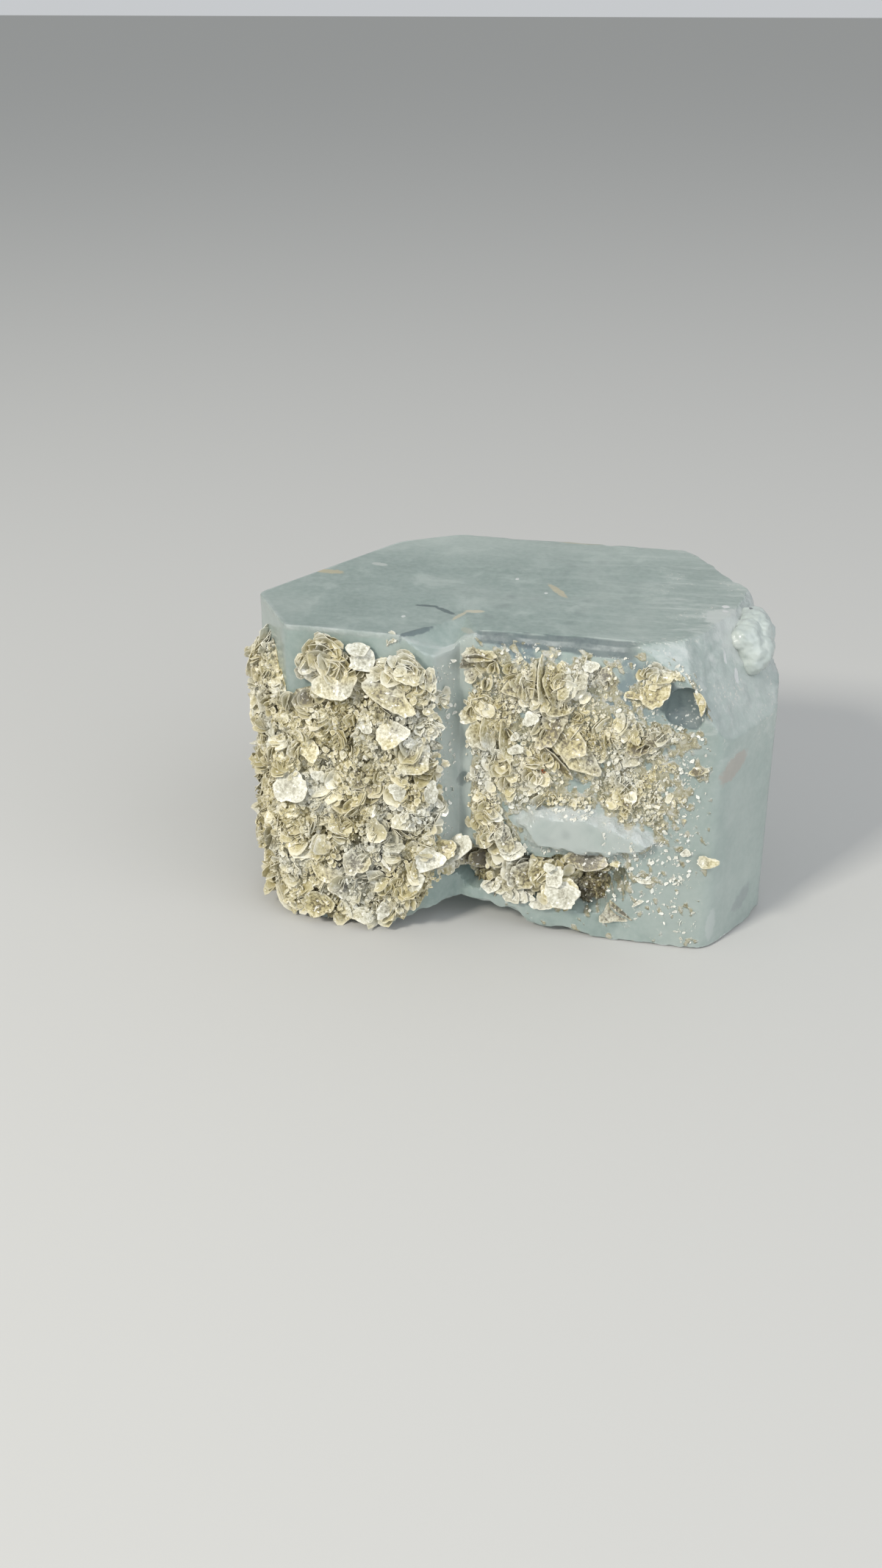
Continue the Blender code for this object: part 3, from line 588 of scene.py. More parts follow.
# Outline of the left crust: run, bottom, top
LEFT_BED = ((-11.7, 9.0, 29.0), (-9.5, 3.0, 33.0), (-5.0, 0.8, 33.5), (0.0, 0.3, 29.0), (3.0, 0.3, 30.0),
            (6.0, 0.3, 33.8), (9.5, 0.3, 34.6), (13.0, 1.6, 33.8), (15.2, 3.4, 32.5), (16.6, 6.5, 31.5))
BED_START, BED_END = LEFT_BED[0][0], LEFT_BED[-1][0]
LEFT_SWELL = (0.25, 1.45)  # lowest and highest level of the bed over the beryl
HEEL_POINT, HEEL_OUT = np.array([-5.75, 9.96, 8.0]), np.array([-0.926, -0.115, -0.359])


def front_place(run, z, out):
    """Points off the front of the beryl, and the way out there; a run below 0 goes back along the left.

    The ground is drawn in where the first two breaks cut the front's upper right corner.
    """
    left_out = facing(LEFT_FACE[0])
    heading = np.diff(FRONT_PLAN, axis=0)
    side = np.clip(np.searchsorted(FRONT_PLAN[:, 0], run) - 1, 0, len(heading) - 1)
    share = (run - FRONT_PLAN[side, 0]) / heading[side, 0]
    on_front = FRONT_PLAN[side] + heading[side] * share[:, None]
    front_out = np.column_stack([heading[side, 1], -heading[side, 0]])
    front_out /= np.linalg.norm(front_out, axis=1)[:, None]
    on_left = FRONT_PLAN[0] + run[:, None] * np.array([-left_out[1], left_out[0]])
    plan = np.where((run < 0)[:, None], on_left, on_front)
    way = left_out + (front_out - left_out) * smooth_step(-1.2, 1.2, run)[:, None]
    way /= np.linalg.norm(way, axis=1)[:, None]
    past = np.maximum(0.0, (np.column_stack([plan, z]) - HEEL_POINT) @ HEEL_OUT)
    plan = plan - way * np.where(run < 0, past / (left_out @ HEEL_OUT[:2]), 0.0)[:, None]
    ground, origin = np.column_stack([plan, z]), np.array([*HEART, 0.5 * HEIGHT])
    for place, outward, _, _ in BREAKS[:2]:
        ground = drawn_in(ground, origin, beyond(ground, origin, place, outward, 0.0))
    way = np.column_stack([way, np.zeros(len(run))])
    return ground + way * out[:, None], way


def bed_limits(edge, run):
    """Bottom and top of a bed at a run, read between the rows of its outline, with an uneven border."""
    keys, low, high = np.array(edge).T
    bottom = np.interp(run, keys, low) + 0.4 * np.maximum(0, np.sin(2.3 * run))
    return bottom, np.interp(run, keys, high) - 0.9 * np.maximum(0, np.sin(1.9 * run + 1.0))


def rolling(run, z, phase):
    """A height from 0 to 1 that rolls over a crust: the sum of three slow waves, as in the solids."""
    total = 0.0
    for number, (across, up) in enumerate(((0.9, 0.35), (-0.5, 0.8), (1.3, 1.1))):
        total = total + np.sin(across * run + up * z + phase + 2.1 * number)
    return 0.5 + total / 6


def bed_level(run, z):
    """The level of the left bed over the beryl: between the two of LEFT_SWELL, by rolling."""
    return LEFT_SWELL[0] + (LEFT_SWELL[1] - LEFT_SWELL[0]) * rolling(run, z, 0.4)


def flaky(ground, spacing, step, slope, seed):
    """A mosaic of uneven cells, each a small tilted plate: its height, and one random number a cell.

    A point belongs to the nearest of many random middles. Its height is a random step of the cell plus
    the cell's random slope times the point's way from the middle.
    """
    chance = np.random.default_rng(seed)
    low, high = ground.min(axis=0), ground.max(axis=0)
    number = int(np.prod(high - low) / spacing**2)
    middles = chance.uniform(low, high, (number, 2))
    warped = ground + 0.25 * spacing * np.column_stack(
        [ripple(ground, 1.1 * spacing, seed + 1, 8), ripple(ground, 1.1 * spacing, seed + 2, 8)])
    own = 0.5 * (middles**2).sum(axis=1)
    cell = np.concatenate([np.argmin(own - part @ middles.T, axis=1) for part in np.array_split(warped, 80)])
    lean = chance.normal(0, slope, (number, 2))[cell]
    height = chance.uniform(-step, step, number)[cell] + (lean * (warped - middles[cell])).sum(axis=1)
    return height, chance.uniform(0, 1, number)[cell]


def flaky_twice(ground, large, small):
    """Large cells with small ones over them: the sum of their heights, and a tone that follows both."""
    (coarse, coarse_tone), (fine, fine_tone) = flaky(ground, *large), flaky(ground, *small)
    # The tone is random for each cell, and lower cells are darker: painted shade
    return coarse + fine, 0.25 * coarse_tone + 0.32 * fine_tone + 0.30 * (coarse + fine)


def bed_values(tone):
    """The values of a flaky bed: its tone, and the same rim, grit and silver everywhere."""
    number = len(tone)
    return {"tone": tone, "rim": np.full(number, 0.6), "grit": np.ones(number), "silver": np.zeros(number)}


def left_bed(columns=245, rows=235, inner_rows=4):
    """The left crust's bed: a closed tube of rows, up its flaky outer side and down its plain inner side."""
    run = np.linspace(BED_START, BED_END, columns)
    bottom, top = bed_limits(LEFT_BED, run)
    share = np.concatenate([np.linspace(0, 1, rows), np.linspace(1, 0, inner_rows)])[:, None]
    z = np.maximum(0.08, bottom + (top - bottom) * share).ravel()
    run = np.broadcast_to(run, (len(share), columns)).ravel()
    ground = np.column_stack([run, z])
    relief, tone = flaky_twice(ground, (1.4, 0.36, 0.32, 60), (0.55, 0.17, 0.45, 61))
    border = (np.minimum(share, 1 - share) * (top - bottom)).ravel()
    border = np.minimum(border, np.minimum(run - BED_START, BED_END - run))
    level = bed_level(run, z) + 0.25 * ripple(ground, 3.0, 63)
    height = 0.08 + smooth_step(0.0, 1.3, border) * np.maximum(0.12, level + relief)
    height[rows * columns :] = 0.02
    points, _ = front_place(run, z, height)
    total = len(share)
    faces = in_halves(tube_faces(columns, total))
    order = np.arange(total * columns).reshape(total, columns).T.ravel()
    ring = np.arange(total) * columns
    ends = [fan_over(ring), fan_over((ring + columns - 1)[::-1])]
    return points, np.concatenate([order[faces], *ends]), bed_values(0.22 + tone)


def axes_of(ways, longs):
    """Three axes for each plate: its long axis, laid square to the way it faces, the third, and the way."""
    ways = ways / np.linalg.norm(ways, axis=1)[:, None]
    longs = longs - ways * (longs * ways).sum(axis=1)[:, None]
    longs = longs / np.linalg.norm(longs, axis=1)[:, None]
    return longs, np.cross(ways, longs), ways


def plates(places, ways, longs, radii, tones, chance, bow=0.2, stretch=1.15, thickness=0.06, sides=9,
           shares=(0.0, 0.6, 1.0), ragged=0.06, crumple=0.03, grit=0.5, silver=0.0):
    """Thin mica plates as one mesh: points, triangles, and each point's tone and share of the radius.

    A plate is a disc in polar form. Its outline is an ellipse with lobes, cut straight along one random
    side, and its height is the bow times the square of the distance across a random line, over the
    radius. The lower face is the upper one moved down by the thickness.
    """
    number, radii = len(places), radii[:, None]
    angle = 2 * np.pi * np.arange(sides) / sides + chance.uniform(-0.5, 0.5, (number, sides)) / sides
    reach = 1 + 0.10 * np.cos(3 * angle + chance.uniform(0, 6.3, (number, 1)))
    reach = reach + 0.05 * np.cos(5 * angle + chance.uniform(0, 6.3, (number, 1)))
    reach = reach + chance.normal(0, ragged, (number, sides))
    cut = chance.uniform(0.55, 1.0, (number, 1))
    cut = cut / np.maximum(np.cos(angle - chance.uniform(0, 6.3, (number, 1))), 0.05)
    reach = radii * np.minimum(reach, cut)
    share = np.array(shares)[None, :, None]
    tall = np.broadcast_to(np.sqrt(stretch), number)[:, None]
    a = (reach * np.cos(angle) * tall)[:, None, :] * share
    b = (reach * np.sin(angle) / tall)[:, None, :] * share
    bend = chance.uniform(0, np.pi, number)[:, None, None]
    bows = (bow + chance.normal(0, 0.10, number))[:, None, None]
    height = bows * (a * np.cos(bend) + b * np.sin(bend)) ** 2 / radii[:, None]
    height = height + chance.normal(0, crumple, (number, len(shares), sides)) * radii[:, None] * share
    first, second, third = (axis[:, None, None, :] for axis in axes_of(ways, longs))
    middle = places[:, None, None, :] + a[..., None] * first + b[..., None] * second
    middle = middle + height[..., None] * third
    faces_at = [middle + third * 0.5 * thickness, middle - third * 0.5 * thickness]
    points = np.concatenate([ring for side in faces_at for ring in (
        side[:, :1, 0], *(side[:, level] for level in range(1, len(shares))))], axis=1)
    n, rings = np.arange(sides), len(shares) - 1
    after = np.roll(n, -1)
    fan = np.stack([n * 0, 1 + n, 1 + after], axis=-1)
    band = np.stack([n, n + sides, after + sides, after], axis=-1)
    bands = [1 + sides * level + band for level in range(rings - 1)]
    upper = np.concatenate([fan, *map(in_halves, bands)])
    below = 1 + sides * rings
    rim = below - sides + np.stack([n, n + below, after + below, after], axis=-1)
    one = np.concatenate([upper, upper[:, ::-1] + below, in_halves(rim)])
    faces = (one[None] + 2 * below * np.arange(number)[:, None, None]).reshape(-1, 3)
    ring_share = np.repeat(np.array(shares), [1] + [sides] * rings)
    values = {key: np.repeat(np.broadcast_to(value, number), 2 * below)
              for key, value in (("tone", np.clip(tones, 0, 1)), ("grit", grit), ("silver", silver))}
    return points.reshape(-1, 3), faces, values | {"rim": np.tile(ring_share, 2 * number)}


def joined(parts):
    """Several (points, faces, values) put together as one."""
    offsets = np.cumsum([0] + [len(part[0]) for part in parts[:-1]])
    faces = np.concatenate([part[1] + offset for part, offset in zip(parts, offsets)])
    values = {key: np.concatenate([part[2][key] for part in parts]) for key in parts[0][2]}
    return np.concatenate([part[0] for part in parts]), faces, values


UP = np.array([0.0, 0.0, 1.0])


def swung(level_ways, angle):
    """Level ways swung up by an angle: the way times its cosine plus UP times its sine."""
    return level_ways * np.cos(angle) + UP * np.sin(angle)


def leaning(ways, least, most, chance):
    """Ways turned away from straight out by a lean between two angles, more of them upwards than down."""
    lean = np.radians(chance.uniform(least, most, len(ways)))[:, None]
    about = chance.uniform(-0.30 * np.pi, 1.30 * np.pi, len(ways))[:, None]
    return ways * np.cos(lean) + swung(np.cross(UP, ways), about) * np.sin(lean)


def books(places, ways, radii, tones, deep, chance, upright=None, **shape):
    """Each plate repeated as a book: the next lies a little lower and wider, turned and moved slightly."""
    longs = chance.normal(0, 1, ways.shape)
    if upright is not None:
        longs = np.where(upright[:, None], UP + 0.15 * longs, longs)
    longs = np.repeat(longs, deep, axis=0)
    level = np.tile(np.arange(deep), len(places))
    places, ways, radii, tones = (np.repeat(value, deep, axis=0) for value in (places, ways, radii, tones))
    places = places - ways * (0.14 * level)[:, None] + chance.normal(0, 0.15, places.shape) * radii[:, None]
    ways = ways + chance.normal(0, 0.09, ways.shape)
    # Each lower plate is painted a little darker: painted shade under the plate above
    tones = tones + chance.normal(0, 0.07, len(tones)) - 0.03 * level
    return plates(places, ways, longs, radii * (1 + 0.06 * level), tones, chance, **shape)


def fans(places, ways, radii, tones, leaves, chance, **shape):
    """Opened books: leaves that stand on one hinge and lean further one after another, as pages do."""
    across = np.cross(ways, chance.normal(0, 1, ways.shape))
    across /= np.linalg.norm(across, axis=1)[:, None]
    lean = np.linspace(-1, 1, leaves)[None, :] * np.radians(chance.uniform(25, 75, (len(places), 1)))
    unevenly = chance.normal(0, 8, lean.shape) + chance.normal(0, 25, (len(places), 1))
    lean = (lean + np.radians(unevenly)).ravel()[:, None]
    places, ways, across, radii, tones = (
        np.repeat(value, leaves, axis=0) for value in (places, ways, across, radii, tones))
    radii = radii * chance.uniform(0.55, 1.1, len(radii))
    page = ways * np.cos(lean) + across * np.sin(lean)
    facing_way = across * np.cos(lean) - ways * np.sin(lean)
    facing_way = np.where((facing_way[:, 1] > 0)[:, None], -facing_way, facing_way)
    facing_way = facing_way + chance.normal(0, 0.1, page.shape)
    places = places + page * (0.65 * radii)[:, None] + chance.normal(0, 0.12, page.shape) * radii[:, None]
    tones = tones + chance.normal(0, 0.12, len(radii))
    return plates(places, facing_way, page, radii, tones, chance, **shape)


def tuft(run, z, out, radius, count, tone, chance):
    """Small leaves crowded round a point of the crust, most of them leaning away from it."""
    place, way = front_place(np.array([run]), np.array([z]), np.array([out]))
    along = np.cross(way, UP)
    about = chance.uniform(0, 2 * np.pi, (count, 1))
    off = chance.uniform(0.0, 1.0, (count, 1)) ** 0.7
    radial = swung(along, about)
    tipped = swung(along, about + chance.normal(0, 0.7, about.shape))
    lean = np.radians(np.clip(30 + 40 * (1 - off) + chance.normal(0, 22, (count, 1)), 0, 88))
    radii = radius * chance.uniform(0.18, 0.52, count)
    places = place + radial * off * radius + way * chance.uniform(0.0, 0.9, (count, 1)) * (1.2 - off)
    ways = way * np.cos(lean) - tipped * np.sin(lean)
    return plates(places, ways, chance.normal(0, 1, (count, 3)), radii, tone + chance.normal(0, 0.15, count),
                  chance, bow=0.3, sides=11, grit=0.4)


def told_apart(rows, chance):
    """Plates placed one by one, from rows of run, z, out, way, long axis, radius, stretch, bow, tone.

    A plate's radius is 0.88 of its row's. Its tone is the row's less 0.24, at most 0.56, and a plate whose
    row says over 0.8 is silver.
    """
    run, z, out, ways, longs, radii, stretch, bow, tone = (np.array(column, float) for column in zip(*rows))
    places, _ = front_place(run, z, out)
    return plates(places, ways, longs, 0.88 * radii, np.minimum(tone - 0.24, 0.56), chance, bow=bow,
                  stretch=stretch, thickness=0.12, sides=28, shares=(0.0, 0.3, 0.6, 0.85, 1.0), ragged=0.05,
                  crumple=0.02, grit=0.85, silver=(tone > 0.8).astype(float))


RUST_SPOT = ((28.9, 0.0, 21.1), (29.2, 0.0, 21.25), 0.35, 4.0)  # start, end, half width, depth


def pearly_mica():
    """Muscovite, cleaved and curled: silver to straw with a pearly gloss, fine grains on its plates."""
    material, tree, place = new_finish("muscovite_pearly")
    tone, rim, grit, is_silver = attributes(tree, "tone", "rim", "grit", "silver")
    patch, hue = noise(tree, place, 2.6, 3.0), noise(tree, place, 5.0, 2.0, 0.5)
    grain = noise(tree, place, 0.36, 4.0, 0.65)
    ringed = arithmetic(tree, "SINE", arithmetic(tree, "MULTIPLY_ADD", rim, 26.0, times(tree, patch, 20.0)))
    # The fit on rim is painted light: each plate darker in the middle and lighter to its edge
    mottled = arithmetic(tree, "ADD", tone, fit(tree, patch, 0.3, 0.7, -0.13, 0.13),
                         fit(tree, rim, 0.2, 1.0, -0.12, 0.12), times(tree, ringed, 0.03),
                         times(tree, fit(tree, grain, 0.32, 0.68, -0.34, 0.34), grit))
    straw, silver = (ramp(tree, mottled, *zip((0.0, 0.25, 0.5, 0.75, 1.0), tints)) for tints in (
        ("#5d543a", "#9d9369", "#bab188", "#d1caaa", "#e0dbc6"),
        ("#615d50", "#9b9886", "#b7b5a3", "#cfcebf", "#dcddd4")))
    colour = layered(
        tree, straw,
        (arithmetic(tree, "MAXIMUM", fit(tree, hue, 0.43, 0.66), is_silver), silver),
        # painted glints: small white specks
        (times(tree, fit(tree, noise(tree, place, 0.5, 2.0, 0.5), 0.63, 0.68), 0.7), "#f3f1e8"),
        # painted highlight along the rims of the plates
        (fit(tree, rim, 0.82, 1.0, 0.0, 0.30), "#e4e0cf"),
        (ragged_mark(tree, place, grain, *RUST_SPOT), "#a05a34"),
    )
    relief = arithmetic(tree, "MULTIPLY_ADD", grain, grit, times(tree, ringed, 0.04))
    set_surface(tree, relief, 0.6, 0.00018, Base_Color=colour, IOR=1.58, Coat_Weight=0.2, Coat_Roughness=0.2,
                Roughness=fit(tree, grain, 0.3, 0.7, 0.32, 0.52))
    return material


mica_finish = pearly_mica()


def mica_piece(name, parts, *nodes):
    """One mesh of mica; what would reach under the floor lies flat just above it."""
    points, faces, values = joined(parts)
    points[:, 2] = np.maximum(points[:, 2], 0.02 + 0.03 * points[:, 2] * (points[:, 2] < 0))
    piece = mesh_piece(name, points, faces, values, sharp=45.0)
    piece.data.materials.append(mica_finish)
    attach(piece, "root")
    if nodes:
        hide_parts(*nodes)


def left_ground(number, chance):
    """Random places on the left crust, with the bed's height there and the tone of the mica about it."""
    run = chance.uniform(BED_START - 0.2, BED_END + 0.6, number)
    bottom, top = bed_limits(LEFT_BED, np.clip(run, BED_START, BED_END))
    z = bottom + (top - bottom) * chance.uniform(0, 1, number)
    border = np.minimum(np.minimum(z - bottom, top - z), np.minimum(run - BED_START, BED_END + 0.5 - run))
    tone = 0.50 + 0.10 * ripple(np.column_stack([run, z]), 5.0, 71) - 0.10 * smooth_step(0, -4, run)
    return run, z, 0.2 + smooth_step(-0.3, 1.8, border) * bed_level(run, z), tone


SCALE = {"shares": (0.0, 1.0), "ragged": 0.14}  # a plate too small to show a curve

# Plates that can be told apart: run, z, out, way it faces, long axis, radius, stretch, bow, tone
LEFT_PLATES = (
    (6.7, 31.2, 1.9, (-0.15, -0.80, 0.50), (1, 0, 0.35), 2.4, 1.6, 0.15, 0.68),
    (9.4, 34.0, 1.5, (0.35, -0.80, 0.45), (0.3, 0, 1), 1.7, 1.2, 0.25, 0.95),
    (9.0, 35.2, 1.2, (0.15, -0.40, 0.90), (1, 0, 0), 1.4, 1.4, 0.2, 0.85),
    (12.3, 30.9, 2.1, (0.30, -0.80, 0.50), (0.75, 0, -0.72), 2.7, 2.1, 0.1, 0.56),
    (14.8, 33.2, 1.4, (0.10, -0.80, 0.55), (1, 0, 0.3), 1.8, 1.3, 0.2, 0.72),
    (16.1, 32.4, 1.2, (0.45, -0.75, 0.45), (0.3, 0, 1), 1.3, 1.3, 0.2, 0.66),
    (9.5, 26.4, 1.7, (0.10, -0.80, 0.60), (1, 0, 0), 1.0, 1.3, 0.1, 1.0),
    (12.9, 26.2, 2.1, (-0.20, -0.85, 0.50), (0.8, 0, 0.6), 2.1, 1.4, 0.20, 0.70),
    (15.0, 22.8, 1.9, (0.20, -0.80, 0.55), (0.9, 0, 0.4), 2.0, 1.5, 0.3, 0.62),
    (0.8, 18.0, 1.9, (-0.20, -0.88, 0.42), (1, 0, 0.2), 2.35, 1.05, -0.06, 0.93),
    (3.9, 19.7, 1.8, (0.20, -0.80, 0.60), (1, 0, 0), 0.8, 1.2, 0.1, 1.0),
    (-1.2, 22.8, 1.8, (-0.70, -0.60, 0.35), (0.1, 0, -1), 1.0, 2.4, 0.1, 1.0),
    (2.9, 22.8, 1.7, (0.1, -0.85, 0.50), (0.6, 0, -0.8), 1.4, 1.4, 0.1, 0.80),
    (13.2, 18.8, 1.7, (0.30, -0.85, 0.30), (0.6, 0, -0.8), 1.1, 1.5, 0.1, 0.95),
    (16.3, 18.9, 1.6, (0.60, -0.70, 0.35), (0.3, 0, 1), 1.2, 1.4, 0.2, 0.85),
    (13.9, 14.9, 1.7, (0.25, -0.85, 0.45), (1, 0, -0.6), 1.5, 1.3, 0.1, 0.80),
    (12.9, 11.8, 1.9, (0.05, -0.30, 0.95), (1, 0, 0), 1.3, 1.4, 0.05, 1.0),
    (12.0, 9.9, 1.4, (-0.25, -0.95, 0.10), (0.1, 0, 1), 1.7, 1.2, 0.1, 0.42),
    (8.2, 9.2, 1.8, (0.05, -0.88, 0.45), (1, 0, 0.2), 1.8, 1.05, 0.3, 0.58),
    (4.3, 7.6, 1.8, (-0.10, -0.85, 0.50), (0.85, 0, -0.5), 1.9, 1.8, -0.25, 0.60),
    (6.2, 5.4, 1.7, (0.15, -0.85, 0.45), (0.8, 0, -0.6), 1.6, 1.6, -0.2, 0.52),
    (16.1, 10.2, 1.5, (0.30, -0.85, 0.40), (0.8, 0, 0.3), 1.8, 1.2, 0.1, 1.0),
    (14.9, 7.0, 1.4, (-0.35, -0.88, 0.25), (0.65, 0, 0.75), 1.5, 2.1, 0.1, 0.92),
    (17.2, 11.2, 1.2, (-0.15, -0.85, 0.50), (1, 0, -0.20), 1.5, 1.3, 0.20, 0.62),
    (20.2, 10.7, 2.4, (-0.40, -0.80, 0.45), (0.73, 0, 0.75), 2.2, 2.3, 0.30, 0.82),
    (3.4, 3.0, 1.7, (-0.10, -0.95, 0.05), (1, 0, 0.3), 2.1, 1.2, 0.1, 0.55),
    (8.6, 2.0, 1.7, (0.15, -0.95, 0.15), (1, 0, 0.2), 1.5, 1.4, 0.1, 0.80),
    (11.6, 3.2, 1.5, (0.35, -0.90, 0.25), (0.9, 0, 0.5), 1.3, 1.4, 0.1, 0.85),
    (-8.4, 24.6, 1.7, (-0.90, -0.40, 0.15), (0, 0, 1), 1.5, 1.7, 0.1, 0.95),
    (-5.2, 28.4, 1.4, (-0.75, -0.55, 0.35), (0, 0, 1), 1.6, 1.5, 0.1, 0.60),
    (-6.0, 14.0, 1.4, (-0.80, -0.50, 0.30), (0, 0, 1), 1.7, 1.6, 0.1, 0.50),
    (-3.0, 9.0, 1.4, (-0.70, -0.65, 0.20), (0.2, 0, 1), 1.6, 1.6, 0.1, 0.55),
)
# Tufts: run, z, out, radius, number of plates, tone
LEFT_TUFTS = (
    (5.4, 33.6, 0.7, 2.6, 60, 0.66), (4.9, 35.2, 0.2, 1.3, 22, 0.72), (2.7, 32.8, 0.4, 1.6, 24, 0.66),
    (13.8, 32.6, 0.7, 2.5, 52, 0.68), (15.6, 31.4, 0.5, 1.8, 26, 0.66), (16.4, 26.4, 0.5, 1.6, 24, 0.82),
    (17.2, 29.6, 0.2, 1.3, 18, 0.85), (16.8, 22.0, 0.3, 1.4, 18, 0.82), (16.6, 17.6, 0.3, 1.3, 16, 0.82),
    (15.9, 14.2, 0.6, 1.6, 20, 0.74), (12.6, 36.0, -0.4, 1.0, 10, 0.8),
)

chance = np.random.default_rng(11)
mica_piece("mica_bed_left", [left_bed()], "mica_crust_left")
run, z, height, tone = left_ground(230, chance)
radii = 0.38 + 1.00 * chance.uniform(0, 1, len(run)) ** 1.7
on_side = run < -1.0
low_end = np.where(on_side, 1.6, 1.1) * radii + 0.15
places, ways = front_place(run, np.maximum(z, low_end), height + 0.05 + 0.10 * radii)
leans = leaning(ways, np.where(on_side, 50, 15), np.where(on_side, 82, 68), chance)
book_parts = [books(places, leans, radii, tone + chance.normal(0.05, 0.14, len(run)), 3, chance,
                    upright=on_side, stretch=np.repeat(np.where(on_side, 2.4, 1.2), 3), sides=13, grit=0.35)]
run, z, height, tone = left_ground(130, chance)
places, ways = front_place(run, np.maximum(z, 2.2), height - 0.20)
book_parts.append(fans(places, leaning(ways, 0, 35, chance), chance.uniform(0.4, 1.25, len(run)),
                       tone + 0.08, 5, chance, sides=13, grit=0.35))
mica_piece("mica_books_left", book_parts, "mica_crust_left")
run, z, height, tone = left_ground(4000, chance)
radii = 0.12 + 0.34 * chance.uniform(0, 1, len(run)) ** 1.6
height = height + 0.15 + chance.uniform(0, 0.35, len(run))
places, ways = front_place(run, np.maximum(z, radii + 0.1), height)
scale_parts = [
    plates(places, leaning(ways, 5, 80, chance), chance.normal(0, 1, ways.shape), radii,
           tone + chance.normal(0.08, 0.18, len(run)), chance, sides=7, **SCALE),
    *(tuft(*row, chance) for row in LEFT_TUFTS),
    told_apart(LEFT_PLATES, chance),
]
mica_piece("mica_scales_left", scale_parts, "mica_crust_left")

# The mica on the right lobe
# The same muscovite, thinner and in patches, with the beryl showing between them. Low clumps carry fans
# of larger plates near the step, and granular silver scales above the ledge.

